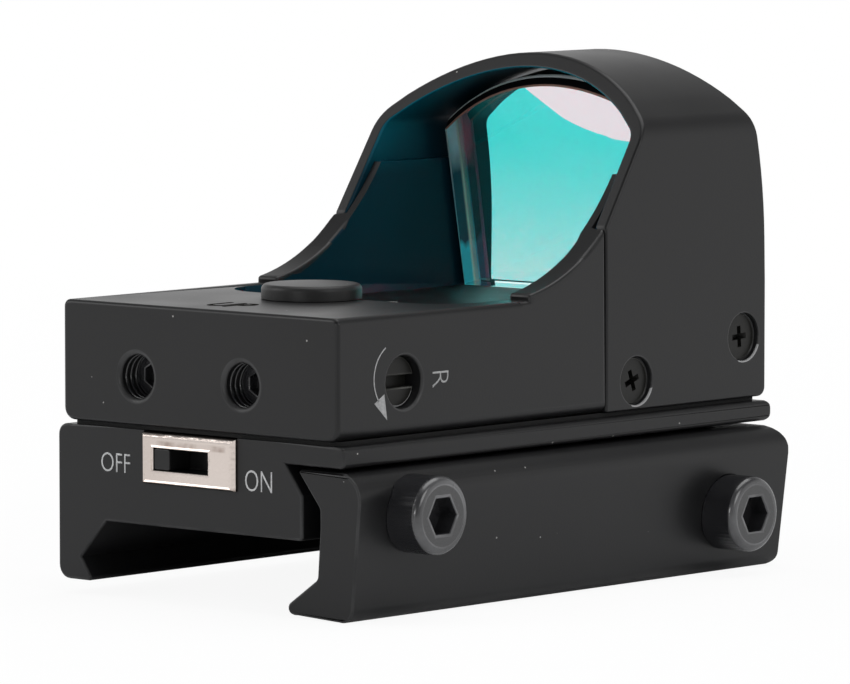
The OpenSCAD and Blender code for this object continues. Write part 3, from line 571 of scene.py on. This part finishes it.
def copy_of(node, name):
    piece = copy_mesh(name, frame["nodes"][node].data)
    only(piece)
    bpy.ops.mesh.customdata_custom_splitnormals_clear()
    edit_all(piece)
    bpy.ops.mesh.remove_doubles(threshold=0.0005 * MM)
    bpy.ops.mesh.dissolve_limited(angle_limit=math.radians(0.3))
    bpy.ops.object.mode_set(mode="OBJECT")
    add_edge_marks(piece)
    piece.data.materials.clear()
    piece.data.materials.append(FINISH[SLOT[node]])
    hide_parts(node)
    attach(piece, BODY[node])
    return piece


print("bodies to ride on:", sorted(set(BODY.values())))

# %% Rounding chosen edges
SHARP = math.radians(30)


def open_mesh(piece, kind):
    if piece.mode != "EDIT":
        only(piece)
        bpy.ops.object.mode_set(mode="EDIT")
    bpy.ops.mesh.select_mode(type=kind)
    bpy.ops.mesh.select_all(action="DESELECT")
    return bmesh.from_edit_mesh(piece.data)


def plane_of(face):
    return (*(round(v, 2) for v in face.normal), round(face.normal.dot(face.center) / MM, 1))


def is_sharp(edge):
    return edge.is_manifold and edge.is_convex and edge.calc_face_angle() > SHARP


def round_edges(piece, width, wanted, segments=3, wear=1.0):
    before = {plane_of(face) for face in piece.data.polygons}
    shape = open_mesh(piece, "EDGE")
    count = 0
    for edge in shape.edges:
        if is_sharp(edge) and wanted(*(corner.co / MM for corner in edge.verts)):
            edge.select_set(True)
            count += 1
    shape.select_flush_mode()
    bmesh.update_edit_mesh(piece.data)
    bpy.ops.mesh.bevel(offset=width * MM, segments=segments, affect="EDGES", clamp_overlap=False)
    bpy.ops.object.mode_set(mode="OBJECT")
    mark = piece.data.attributes["edge"].data
    for face in piece.data.polygons:
        if face.select and plane_of(face) not in before:
            mark[face.index].value = wear
    print(piece.name, "softened", count, "edges by", width, "mm")


def both_ends(test):
    return lambda a, b: test(a) and test(b)


print("edges sharper than", round(math.degrees(SHARP)), "degrees can be rounded")

# %% Flat faces and modifiers
FLAT_AREA = 5 * MM * MM


def pick_faces(piece, wanted):
    shape = open_mesh(piece, "FACE")
    picked = [face for face in shape.faces if wanted(face)]
    for face in picked:
        face.select = True
    bmesh.update_edit_mesh(piece.data)
    return len(picked)


def finish_with(piece, kind, **settings):
    modifier = piece.modifiers.new(kind, kind)
    for name, value in settings.items():
        setattr(modifier, name, value)
    only(piece)
    bpy.ops.object.modifier_apply(modifier=modifier.name)


def settle(piece, angle=35, flats=None):
    only(piece)
    bpy.ops.object.shade_smooth_by_angle(angle=math.radians(angle))
    finish_with(piece, "WEIGHTED_NORMAL", keep_sharp=True)
    if flats:
        pick_faces(piece, lambda face: face.calc_area() > FLAT_AREA and flats(face.normal))
        bpy.ops.mesh.set_normals_from_faces(keep_sharp=True)
        bpy.ops.object.mode_set(mode="OBJECT")


def put_down(piece, place):
    only(piece)
    piece.matrix_world = place
    bpy.ops.object.transform_apply(location=True, rotation=True, scale=True)


print("faces over", round(FLAT_AREA / MM / MM), "square mm can be kept flat")

# %% [markdown]
# ## Deck block
# The body is milled from one bar: a deck with a channel to the lens, two swept wings and bores for the
# screws. Modelling it again would drift from the CAD, so its copy is used. The outer edges get a full
# radius, and after it a merge closes the slivers that the bevel leaves where three edges meet. The bores
# get a finer edge, brightened partly by wear and partly by a painted highlight. The walls inside the hood
# take the lining with its painted teal light, and the channel's floor a duller black that paints its shade.

# %% Deck block
REAR, FRONT, HALF = -23.5, 23.5, 13.2
DECK_Z, SEAM_Y = 15.63, 5.1
WINDAGE = (-16.6, 10.8)
LOCK_X, LOCK_Z = (-6, 4.1), 10.48
BORE_REACH = 2.4


def off_axis(point, axis, first, second):
    one, two = {"x": (1, 2), "y": (0, 2)}[axis]
    return math.hypot(point[one] - first, point[two] - second)


def at_bore(p):
    spans = [off_axis(p, "x", *WINDAGE)] + [off_axis(p, "y", x, LOCK_Z) for x in LOCK_X]
    return min(spans) < BORE_REACH


on_rear = both_ends(lambda p: p.y < REAR + 0.01)
on_side = both_ends(lambda p: abs(p.x) > HALF - 0.01)
on_right = both_ends(lambda p: p.x > HALF - 0.01)
on_wing_rim = both_ends(lambda p: p.z > DECK_Z + 0.3 and p.y < SEAM_Y)


def body_edges(a, b):
    outer = on_rear(a, b) or on_side(a, b) or on_wing_rim(a, b)
    return outer and not at_bore(a) and not at_bore(b)


def bore_edges(a, b):
    return (on_rear(a, b) or on_right(a, b)) and at_bore(a) and at_bore(b)


sight_body = copy_of("sight_body", "deck_block")
round_edges(sight_body, 0.32, body_edges, segments=4, wear=0.05)
edit_all(sight_body)
bpy.ops.mesh.remove_doubles(threshold=0.06 * MM)
bpy.ops.object.mode_set(mode="OBJECT")
# the bore edges' brighter tone is partly wear and partly a painted highlight
round_edges(sight_body, 0.2, bore_edges, wear=0.8)

# %% Finishes inside the deck block
def paint_faces(piece, finish, wanted):
    piece.data.materials.append(finish)
    last = len(piece.data.materials) - 1
    picked = [face for face in piece.data.polygons if wanted(face)]
    for face in picked:
        face.material_index = last
    print(piece.name, "has", len(picked), "faces of", finish.name)


def inside_body(face):
    middle, normal = face.center / MM, face.normal
    inner_wall = normal.x * math.copysign(1, middle.x) < -0.8 and middle.z > 14.2 and middle.y > -13
    wing_top = normal.z > 0.9 and middle.z > 23.5
    return inner_wall or wing_top


def channel_floor(face):
    middle = face.center / MM
    return face.normal.z > 0.95 and 14.1 < middle.z < 14.6 and middle.y > -12


def squarely(normal):
    return max(abs(v) for v in normal) > 0.9999


paint_faces(sight_body, lining_painted_teal, inside_body)
paint_faces(sight_body, shaded_channel_black, channel_floor)
settle(sight_body, flats=squarely)

# %% [markdown]
# ## Wing toes
# The swept rim of each wing stands a little above the deck and ends there in a blunt, slightly hollow toe.
# It could be sculpted out of the body's mesh, but a piece of its own keeps the body's faces clean. A cube
# is cut into slices along the sweep, its underside is sunk into the rim, and its top runs out into the
# rim.

# %% Wing toes
SWEEP_Y, SWEEP_Z, SWEEP_R = -8.91, 35.32, 20.5
TOE_Y, TOE_RUN, TOE_RISE, TOE_SINK, TOE_WIDE = -3.2, 6.0, 0.45, 0.3, 1.99


def on_sweep(y):
    return SWEEP_Z - math.sqrt(SWEEP_R ** 2 - (y - SWEEP_Y) ** 2)


def toe_edges(a, b):
    upper = all(p.z > on_sweep(p.y) - 0.1 for p in (a, b))
    corner = max(a.y, b.y) < TOE_Y + 0.1 and abs(a.x - b.x) < 0.1
    return upper or corner


def wing_toe(name, side):
    toe = start_piece(name, bpy.ops.mesh.primitive_cube_add, size=1)
    shape = open_mesh(toe, "EDGE")
    for edge in shape.edges:
        edge.select_set(abs(edge.verts[0].co.y - edge.verts[1].co.y) > 0.5)
    bmesh.update_edit_mesh(toe.data)
    bpy.ops.mesh.subdivide(number_cuts=11)
    bpy.ops.object.mode_set(mode="OBJECT")
    for point in toe.data.vertices:
        share = point.co.y + 0.5
        y = TOE_Y + TOE_RUN * share
        lift = TOE_RISE * (1 - share) ** 1.3 - 0.03 * share if point.co.z > 0 else -TOE_SINK
        point.co = (side * (HALF - 1 + TOE_WIDE * point.co.x) * MM, y * MM, (on_sweep(y) + lift) * MM)
    edit_all(toe)
    bpy.ops.mesh.normals_make_consistent(inside=False)
    bpy.ops.object.mode_set(mode="OBJECT")
    add_edge_marks(toe)
    round_edges(toe, 0.22, toe_edges, segments=4, wear=0.3)
    pick_faces(toe, lambda face: face.normal.y < -0.99)
    bpy.ops.mesh.inset(thickness=0.06 * MM, depth=-0.04 * MM, use_boundary=True)
    bpy.ops.object.mode_set(mode="OBJECT")
    toe.data.materials.append(anodised)
    settle(toe)
    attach(toe, "sight")


wing_toe("left_wing_toe", -1)
wing_toe("right_wing_toe", 1)

# %% [markdown]
# ## Hood
# The hood is a cast arch that closes over the wings and the lens. Its copy keeps the CAD's raked rims. All
# its edges are softened, but the countersinks of its screws take a finer bevel, and the lower side of each
# one gets a painted glint, partly rubbed metal and partly the light it catches. Wear from noise alone would
# fall anywhere, so these faces are picked by their angle.

# %% Hood
HOOD_SCREWS = ((8.6, 9.15), (20.9, 11.55))


def at_screw(p, reach=2.3):
    return any(off_axis(p, "x", *centre) < reach for centre in HOOD_SCREWS)


# paints a bright glint on the lower side of a screw seat: partly rubbed metal, partly the light it catches
def paint_low_glint(piece, wanted, centres):
    mark = piece.data.attributes["edge"].data

    def lower_edge(face):
        middle = face.center / MM
        y, z = min(centres, key=lambda centre: off_axis(middle, "x", *centre))
        angle = math.degrees(math.atan2(middle.z - z, middle.y - y))
        return mark[face.index].value > 0.2 and wanted(middle) and -110 < angle < -25

    paint_faces(piece, glint, lower_edge)


def inside_hood(face):
    middle, normal = face.center / MM, face.normal
    return abs(middle.x) < HALF - 0.3 and normal.x * middle.x + normal.z * (middle.z - 14) < -0.3


hood = copy_of("hood", "lens_hood")
round_edges(hood, 0.22, both_ends(lambda p: not at_screw(p)), segments=4, wear=0.05)
round_edges(hood, 0.13, both_ends(lambda p: at_screw(p) and abs(p.x) > HALF - 0.01), segments=2, wear=0.5)
paint_faces(hood, lining_painted_teal, inside_hood)
paint_low_glint(hood, lambda p: abs(p.x) > HALF - 0.2 and at_screw(p, 2.4), HOOD_SCREWS)
settle(hood, flats=lambda n: abs(n.x) > 0.9999)

# %% [markdown]
# ## Clamp foot and jaw
# The foot carries the rail's V groove on its left and the sliding jaw on its right. Both are plain
# machined blocks, so copies with softened edges are enough. The foot's edges behind the switch frame and
# the jaw's counterbores stay sharp, because the switch and the screw heads sit close against them.

# %% Clamp foot and jaw
SWITCH_X = -0.75
CLAMP_REAR, CLAMP_FRONT = (-17.9, 1.9), (16.8, -0.9)
on_front = both_ends(lambda p: p.y > FRONT - 0.7)
off_switch = both_ends(lambda p: abs(p.x - SWITCH_X) > 5.2 or p.z < 2.6)
foot = copy_of("mount_base", "clamp_foot")
# the wear on these edges also paints the thin highlight lines they catch
round_edges(foot, 0.2, lambda a, b: (on_rear(a, b) or on_front(a, b)) and off_switch(a, b), wear=0.5)
settle(foot, flats=squarely)


def off_heads(p):
    return all(off_axis(p, "x", *centre) > 3.4 for centre in (CLAMP_REAR, CLAMP_FRONT))


jaw = copy_of("clamp_jaw", "sliding_jaw")
# the wear on these edges also paints the thin highlight lines they catch
round_edges(jaw, 0.16, both_ends(off_heads), wear=0.6)
settle(jaw)

# %% [markdown]
# ## Lens block
# The cemented pair is one block with ground edges. It could keep the CAD's two glasses, but the face
# between them would bend light twice, so one block replaces both. A short cylinder with the radius of its
# arched top is cut to its width and foot. A broad blackened bevel follows the arch of its rear face, every
# other edge gets a thin polished one, and the block leans back with its foot on the channel floor.

# %% Lens blank
LENS_T, LENS_HALF, LENS_TALL, LENS_R = 3.6, 11.0, 16.35, 18.33
LENS_PLACE = Matrix.Translation((0, LENS_Y * MM, LENS_Z * MM)) @ Matrix.Rotation(LENS_LEAN, 4, "X")


def cut_off(point, normal):
    bpy.ops.mesh.select_all(action="SELECT")
    bpy.ops.mesh.bisect(plane_co=point, plane_no=normal, use_fill=True, clear_outer=True)


lens = start_piece(
    "lens_block", bpy.ops.mesh.primitive_cylinder_add, vertices=256, radius=LENS_R * MM, depth=LENS_T * MM,
    location=(0, LENS_T / 2 * MM, (LENS_TALL - LENS_R) * MM), rotation=(math.radians(90), 0, 0))
bpy.ops.object.transform_apply(location=True, rotation=True, scale=True)
bpy.ops.object.mode_set(mode="EDIT")
cut_off((LENS_HALF * MM, 0, 0), (1, 0, 0))
cut_off((-LENS_HALF * MM, 0, 0), (-1, 0, 0))
cut_off((0, 0, 0), (0, 0, -1))
bpy.ops.object.mode_set(mode="OBJECT")
add_edge_marks(lens)
print("lens blank:", len(lens.data.polygons), "faces")

# %% [markdown]
# Each bevel of the lens gets a wear value of its own. None of the lens finishes shows wear, so the value
# only tells afterwards which bevel a face belongs to, and so which finish it takes.

# %% Lens edges and their finishes
BROAD = 0.65
BLACK_BEVEL, PALE_BAND, AMBER_LINE, POLISHED = 0.5, 0.35, 0.6, 1.0
LENS_FINISHES = (lens_glass, lens_rim, lens_band, lens_line, lens_black, lens_amber)
BEVEL_FINISH = {POLISHED: lens_line, AMBER_LINE: lens_amber, BLACK_BEVEL: lens_black, PALE_BAND: lens_band}


def on_arch(y, inset):
    def test(p):
        from_arch = off_axis(p, "y", 0, LENS_TALL - LENS_R) - LENS_R + inset
        return abs(p.y - y) < 0.02 and p.z > 10 and abs(from_arch) < 0.05

    return both_ends(test)


def on_rear_glass(a, b):
    return abs(a.y) + abs(b.y) < 0.01


round_edges(lens, BROAD, lambda a, b: on_rear_glass(a, b) and a.z + b.z > 24.9, segments=1, wear=BLACK_BEVEL)
round_edges(lens, 0.22, on_arch(BROAD, 0), segments=2, wear=PALE_BAND)
round_edges(lens, 0.09, on_arch(0, BROAD), segments=2, wear=AMBER_LINE)
round_edges(lens, 0.35, lambda a, b: on_rear_glass(a, b) and abs(a.z - b.z) > 5, segments=4, wear=POLISHED)
round_edges(lens, 0.1, lambda a, b: abs(a.y - b.y) < 0.01, segments=2, wear=POLISHED)
for finish in LENS_FINISHES:
    lens.data.materials.append(finish)
bevel_of = lens.data.attributes["edge"].data
for face in lens.data.polygons:
    finish = lens_glass
    if abs(face.normal.y) <= 0.99 and face.center.z >= 0.15 * MM:
        side = lens_black if face.normal.z > 0.3 else lens_rim
        finish = BEVEL_FINISH.get(round(bevel_of[face.index].value, 2), side)
    face.material_index = LENS_FINISHES.index(finish)
put_down(lens, LENS_PLACE)
settle(lens, flats=lambda n: abs(n.y) > 0.98)
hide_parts("lens_rear", "lens_front")
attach(lens, "sight")
print("lens:", len(lens.data.polygons), "faces")

# %% [markdown]
# ## Coating
# The coating lies between the two glasses. A flat film would mirror one small patch of the room, so a fine
# grid is bent to a very large ball, given a thickness of a hundredth of a millimetre, and trimmed by a
# boolean to a slightly smaller copy of the block.

# %% Coating between the glasses
BALL_R, BALL_X = 450.0, -15.7
FILM_WIDE, FILM_TALL, FILM_DROP = 24, 18, 0.5
TRIM_SHARE = 0.994
film = start_piece(
    "lens_coating", bpy.ops.mesh.primitive_grid_add, x_subdivisions=48, y_subdivisions=36, size=1)
for point in film.data.vertices:
    x, z = point.co.x * FILM_WIDE, (point.co.y + 0.5) * FILM_TALL - FILM_DROP
    out = (x - BALL_X) ** 2 + (z - LENS_TALL / 2) ** 2
    point.co = (x * MM, (CEMENT - (out - BALL_X ** 2) / 2 / BALL_R) * MM, z * MM)
finish_with(film, "SOLIDIFY", thickness=0.01 * MM)
put_down(film, LENS_PLACE)
trim = copy_mesh("trim", lens.data)
heart = Vector((0, 18.0 * MM, 22.5 * MM))
trim.data.transform(Matrix.Translation(heart) @ Matrix.Scale(TRIM_SHARE, 4) @ Matrix.Translation(-heart))
finish_with(film, "BOOLEAN", operation="INTERSECT", solver="EXACT", object=trim)
bpy.data.objects.remove(trim)
film.data.materials.clear()
film.data.materials.append(coating)
for face in film.data.polygons:
    face.material_index = 0
bpy.ops.object.shade_smooth_by_angle(angle=math.radians(30))
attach(film, "sight")
print("coating:", len(film.data.polygons), "faces")

# %% [markdown]
# ## Clamp screws
# The clamp screws are socket cap screws, whose heads carry a fine straight knurl. A bump would not show on
# the outline, so the knurl is in the mesh: every side face of the head is inset on its own and pressed in,
# and the seams between the faces stand as ridges. A second inset lays a thin ring round the flat face,
# which is brightened along with the rounded shoulder: partly wear, and partly a painted highlight.

# %% Clamp screws
HEAD_X, SHOULDER_X, SOCKET_X = (15.6, 18.4), 17.35, 17.5
KNURL_R, SHOULDER_R, SOCKET_R = 2.65, 2.2, 1.8
# the shoulder and the ring are brightened partly for wear and partly as a painted highlight
SHOULDER_WEAR_AND_HIGHLIGHT, RING_WEAR_AND_HIGHLIGHT = 0.22, 0.4


def clamp_screw(node, name, centre):
    screw = copy_of(node, name)
    face_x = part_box(node)[1][0]

    def out(point):
        return off_axis(point, "x", *centre)

    def knurled(face):
        middle = face.calc_center_median() / MM
        return HEAD_X[0] < middle.x < HEAD_X[1] and out(middle) > KNURL_R and abs(face.normal.x) < 0.1

    round_edges(screw, 0.1, both_ends(lambda p: p.x > SOCKET_X and out(p) < SOCKET_R), segments=2, wear=0.5)
    flats = pick_faces(screw, knurled)
    bpy.ops.mesh.inset(thickness=0.03 * MM, depth=-0.007 * MM, use_individual=True)
    shape = bmesh.from_edit_mesh(screw.data)
    outermost = max(face.calc_center_median().x for face in shape.faces)

    def on_face(face):
        return face.normal.x > 0.999 and face.calc_center_median().x > outermost - 0.003 * MM

    pick_faces(screw, on_face)
    shape = bmesh.from_edit_mesh(screw.data)
    mark = shape.faces.layers.float["edge"]
    for face in shape.faces:
        middle = face.calc_center_median() / MM
        if middle.x > SHOULDER_X and 0.15 < face.normal.x < 0.999 and out(middle) > SHOULDER_R:
            face[mark] = SHOULDER_WEAR_AND_HIGHLIGHT
    bpy.ops.mesh.inset(thickness=0.12 * MM, depth=0.0, use_boundary=True)
    shape = bmesh.from_edit_mesh(screw.data)
    mark = shape.faces.layers.float["edge"]
    for face in shape.faces:
        if on_face(face) and not face.select:
            face[mark] = RING_WEAR_AND_HIGHLIGHT
    bmesh.update_edit_mesh(screw.data)
    bpy.ops.object.mode_set(mode="OBJECT")
    for corner in screw.data.vertices:
        corner.co.x = min(corner.co.x, face_x)
    settle(screw, 25)
    print(name, "has", flats, "knurl flats")


clamp_screw("clamp_screw_rear", "rear_cap_screw", CLAMP_REAR)
clamp_screw("clamp_screw_front", "front_cap_screw", CLAMP_FRONT)

# %% [markdown]
# ## Hood screws
# The hood's countersunk screws have a cross recess. Its four slots could be drawn into each head by hand,
# but the heads sit at different turns. So one tapered arm is modelled once, and its copies cut a cross
# into each of the four heads with a boolean.

# %% One arm of the cross
arm = start_piece("cross_arm", bpy.ops.mesh.primitive_cube_add, size=1)
edit_all(arm)
bpy.ops.transform.resize(value=(0.52 * MM, 2.1 * MM, 1.2 * MM))
pick_faces(arm, lambda face: face.normal.z < -0.9)
bpy.ops.transform.resize(value=(0.55, 0.45, 1))
bpy.ops.object.mode_set(mode="OBJECT")
print("arm:", [round(v / MM, 2) for v in arm.dimensions], "mm")

# %% Hood screws
HEAD_FACE, CROSS_ROLL = 12.7, (20, 4)


def cut_arm(piece, turn, side, y, z):
    cutter = copy_mesh("cutter", arm.data)
    cutter.data.transform(Matrix.Rotation(math.radians(turn), 4, "Z"))
    face_out = Matrix.Rotation(math.radians(90 * side), 4, "Y")
    cutter.data.transform(Matrix.Translation((side * HEAD_FACE * MM, y * MM, z * MM)) @ face_out)
    finish_with(piece, "BOOLEAN", operation="DIFFERENCE", solver="EXACT", object=cutter)
    bpy.data.objects.remove(cutter)


def head_rim(p):
    return abs(p.x) > HEAD_FACE - 0.05 and not at_screw(p, 1.5)


screws = copy_of("hood_screws", "countersunk_screws")
for side in (-1, 1):
    for centre, roll in zip(HOOD_SCREWS, CROSS_ROLL):
        for turn in (0, 90):
            cut_arm(screws, turn + roll, side, *centre)
bpy.data.objects.remove(arm)
round_edges(screws, 0.1, both_ends(head_rim), segments=2, wear=0.6)
screws.data.materials[0] = dark_steel
settle(screws)

# %% [markdown]
# ## Windage and lock screws
# The windage screw's slot is a little wider in the photograph than in the CAD, so the slot's corners are
# moved apart in the copy: a new cut would leave the old one behind. Its rim gets a painted glint below,
# partly rubbed metal and partly the light it catches, as the hood's countersinks do. The two grub screws
# only need softer rims round their sockets.

# %% Windage and lock screws
SLOT_GROWTH = 0.12
windage = copy_of("windage_screw", "slotted_screw")
for corner in windage.data.vertices:
    high = corner.co.z / MM - WINDAGE[1]
    if corner.co.x > 11 * MM and abs(high) < 0.5:
        corner.co.z += math.copysign(SLOT_GROWTH * MM, high)
round_edges(windage, 0.12, both_ends(lambda p: p.x > 12.0), segments=2)
windage.data.materials[0] = dark_steel
# painted glint on the lower rim of the windage screw, partly rubbed metal
paint_low_glint(windage, lambda p: off_axis(p, "x", *WINDAGE) > 1.4, (WINDAGE,))
settle(windage)
for node, name in (("lock_screw_left", "left_grub"), ("lock_screw_right", "right_grub")):
    grub = copy_of(node, name)
    round_edges(grub, 0.09, both_ends(lambda p: p.y < REAR + 1.9), segments=2, wear=0.4)
    settle(grub)

# %% [markdown]
# ## Thread in the lock bores
# The bores of the lock screws show their thread. Rings would be quicker, but a thread climbs, so a small
# triangle is swept along a helix by the Screw modifier, once, and copied into both bores. It lies on the
# wall of the bore, just clear of the screw that turns in it.

# %% Thread in the lock bores
THREAD_ROOT, THREAD_TIP, THREAD_HALF = 1.575 * MM, 1.508 * MM, 0.2 * MM
thread = start_piece("thread", bpy.ops.mesh.primitive_circle_add, vertices=3, radius=1, fill_type="NOTHING")
low, tip, high = thread.data.vertices
low.co = (THREAD_ROOT, 0, -THREAD_HALF)
tip.co = (THREAD_TIP, 0, 0)
high.co = (THREAD_ROOT, 0, THREAD_HALF)
finish_with(thread, "SCREW", screw_offset=0.5 * MM, iterations=5, steps=40, render_steps=40,
            use_merge_vertices=False)
edit_all(thread)
bpy.ops.mesh.edge_face_add()
bpy.ops.mesh.select_all(action="SELECT")
bpy.ops.mesh.normals_make_consistent(inside=False)
bpy.ops.object.mode_set(mode="OBJECT")
thread.data.materials.append(black_oxide)
for name, x in zip(("left_bore_thread", "right_bore_thread"), LOCK_X):
    winding = copy_mesh(name, thread.data)
    mouth = Matrix.Translation((x * MM, (REAR + 0.45) * MM, LOCK_Z * MM))
    put_down(winding, mouth @ Matrix.Rotation(math.radians(-90), 4, "X"))
    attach(winding, "sight")
    print(name, "has", len(winding.data.polygons), "faces")
bpy.data.objects.remove(thread)

# %% [markdown]
# ## Switch and dial
# The switch frame is pressed from plated sheet, so its outer edge rolls over and its face is slightly
# dished. A plain bevel would leave the face flat, so a thin inset sinks it. The slider's edges are
# softened, and the dial keeps the CAD's edges and only gets its satin black.

# %% Switch and dial
PLATE = (SWITCH_X, 4.85, 4.45, 1.8)
WINDOW = (-1.4, 4.82, 2.65, 0.785)


def spread(p, opening):
    x, z, half_wide, half_tall = opening
    return max(abs(p.x - x) / half_wide, abs(p.z - z) / half_tall)


def on_plate(face):
    return face.normal.y < -0.999 and face.calc_center_median().y < (REAR - 0.39) * MM


shell = copy_of("switch_frame", "switch_shell")
round_edges(shell, 0.26, both_ends(lambda p: p.y < REAR - 0.3 and spread(p, PLATE) > 0.98), segments=4)
round_edges(shell, 0.08, both_ends(lambda p: p.y < REAR - 0.39 and spread(p, WINDOW) < 1.02), segments=2)
pick_faces(shell, on_plate)
bpy.ops.mesh.inset(thickness=0.12 * MM, depth=-0.05 * MM, use_boundary=True)
bpy.ops.object.mode_set(mode="OBJECT")
settle(shell, 15)
knob = copy_of("switch_knob", "switch_slider")
round_edges(knob, 0.1, both_ends(lambda p: p.y < REAR), segments=2)
settle(knob)
dial = copy_of("elevation_dial", "elevation_knob")
dial.data.materials[0] = dial_black
settle(dial)

# %% [markdown]
# ## Emitter
# Only the flat top of the emitter shows above the channel's edge. Its CAD dome would show as a pale bead
# there, so a bisect cuts the dome level.

# %% Emitter
DOME_CUT = 0.2
emitter = copy_of("led_emitter", "emitter_chip")
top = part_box("led_emitter")[1][2]
bpy.ops.object.mode_set(mode="EDIT")
cut_off((0, 0, top - DOME_CUT * MM), (0, 0, 1))
bpy.ops.object.mode_set(mode="OBJECT")
settle(emitter)
print("emitter is cut at", round(top / MM - DOME_CUT, 2), "mm")

# %% [markdown]
# ## Markings
# OFF and ON beside the switch and the R beside the windage screw are thin ink, and the mark on the deck is
# a dull shadow. A picture could carry the letters, but a mesh stays sharp from any side. So text is turned
# into a mesh, scaled to its measured box, and given a thickness of two hundredths of a millimetre.

# %% Words
INK_FILM = 0.02


def to_box(piece, low, high):
    corners = [Vector(corner) for corner in piece.bound_box]
    first = [min(corner[i] for corner in corners) for i in range(2)]
    last = [max(corner[i] for corner in corners) for i in range(2)]
    for point in piece.data.vertices:
        for i in range(2):
            point.co[i] = low[i] + (point.co[i] - first[i]) / (last[i] - first[i]) * (high[i] - low[i])
        point.co.z = 0
    piece.data.update()


def ink(piece, place, finish):
    put_down(piece, place)
    finish_with(piece, "SOLIDIFY", thickness=INK_FILM * MM, offset=1)
    piece.data.materials.clear()
    piece.data.materials.append(finish)
    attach(piece, "sight")
    print(piece.name, "has", len(piece.data.polygons), "faces")


def word(name, letters, low, high, place, finish, stroke):
    text = start_piece(name, bpy.ops.object.text_add)
    text.data.body = letters
    text.data.resolution_u = 4
    text.data.offset = stroke
    bpy.ops.object.convert(target="MESH")
    piece = bpy.context.object
    to_box(piece, [v * MM for v in low], [v * MM for v in high])
    ink(piece, place, finish)


ON_REAR = Matrix.Translation((0, REAR * MM, 0)) @ Matrix.Rotation(math.radians(90), 4, "X")
ON_DECK = Matrix.Translation((0, 0, DECK_Z * MM))
FACE_RIGHT = Matrix(((0, 0, 1, 0), (1, 0, 0, 0), (0, 1, 0, 0), (0, 0, 0, 1)))
ON_SIDE = Matrix.Translation((HALF * MM, 0, 0)) @ FACE_RIGHT
LYING = ON_SIDE @ Matrix.Rotation(math.radians(-90), 4, "Z")
word("ink_off", "OFF", (-9.43, 3.58), (-6.6, 4.95), ON_REAR, paint, -0.012)
word("ink_on", "ON", (4.5, 3.15), (7.05, 4.64), ON_REAR, paint, -0.012)
word("deck_mark", "UP", (-2.0, -21.0), (1.1, -18.0), ON_DECK, pit_shadow, 0.01)
word("ink_r", "R", (-11.32, -13.66), (-10.2, -12.01), LYING, faded, -0.02)

# %% [markdown]
# ## Arrow
# The arrow beside the windage screw shows which way it turns. A curve with a width would do, but a spin is
# one step: the arc is a short edge spun about the arc's centre, and the head is a triangle. Both are flat
# meshes on the right face, and get the same film thickness.

# %% Arrow
ARC_Y, ARC_Z, ARC_R, ARC_HALF = -17.26, 11.16, 2.52, 0.045
ARC_START, ARC_SWEEP = math.radians(121), math.radians(-96)
ARROW_HEAD = ((-19.74, 9.5), (-18.43, 8.29), (-18.72, 10.1))
arc = start_piece("ink_arrow", bpy.ops.mesh.primitive_plane_add, size=1)
bpy.ops.object.mode_set(mode="EDIT")
bpy.ops.mesh.select_mode(type="EDGE")
bpy.ops.mesh.delete(type="ONLY_FACE")
shape = bmesh.from_edit_mesh(arc.data)
for index, corner in enumerate(shape.verts):
    radius = ARC_R + (ARC_HALF if index % 2 else -ARC_HALF)
    y = ARC_Y + radius * math.cos(ARC_START)
    z = ARC_Z + radius * math.sin(ARC_START)
    corner.co = (y * MM, z * MM, 0)
bmesh.ops.remove_doubles(shape, verts=shape.verts, dist=0.01 * MM)
bmesh.update_edit_mesh(arc.data)
bpy.ops.mesh.select_all(action="SELECT")
bpy.ops.mesh.spin(steps=20, angle=ARC_SWEEP, center=(ARC_Y * MM, ARC_Z * MM, 0), axis=(0, 0, 1))
bpy.ops.mesh.select_all(action="SELECT")
bpy.ops.mesh.remove_doubles(threshold=0.005 * MM)
bpy.ops.object.mode_set(mode="OBJECT")
ink(arc, ON_SIDE, faded)
head = start_piece(
    "ink_arrow_head", bpy.ops.mesh.primitive_circle_add, vertices=3, radius=1, fill_type="NGON")
for corner, (y, z) in zip(head.data.vertices, ARROW_HEAD):
    corner.co = (y * MM, z * MM, 0)
ink(head, ON_SIDE, faded)
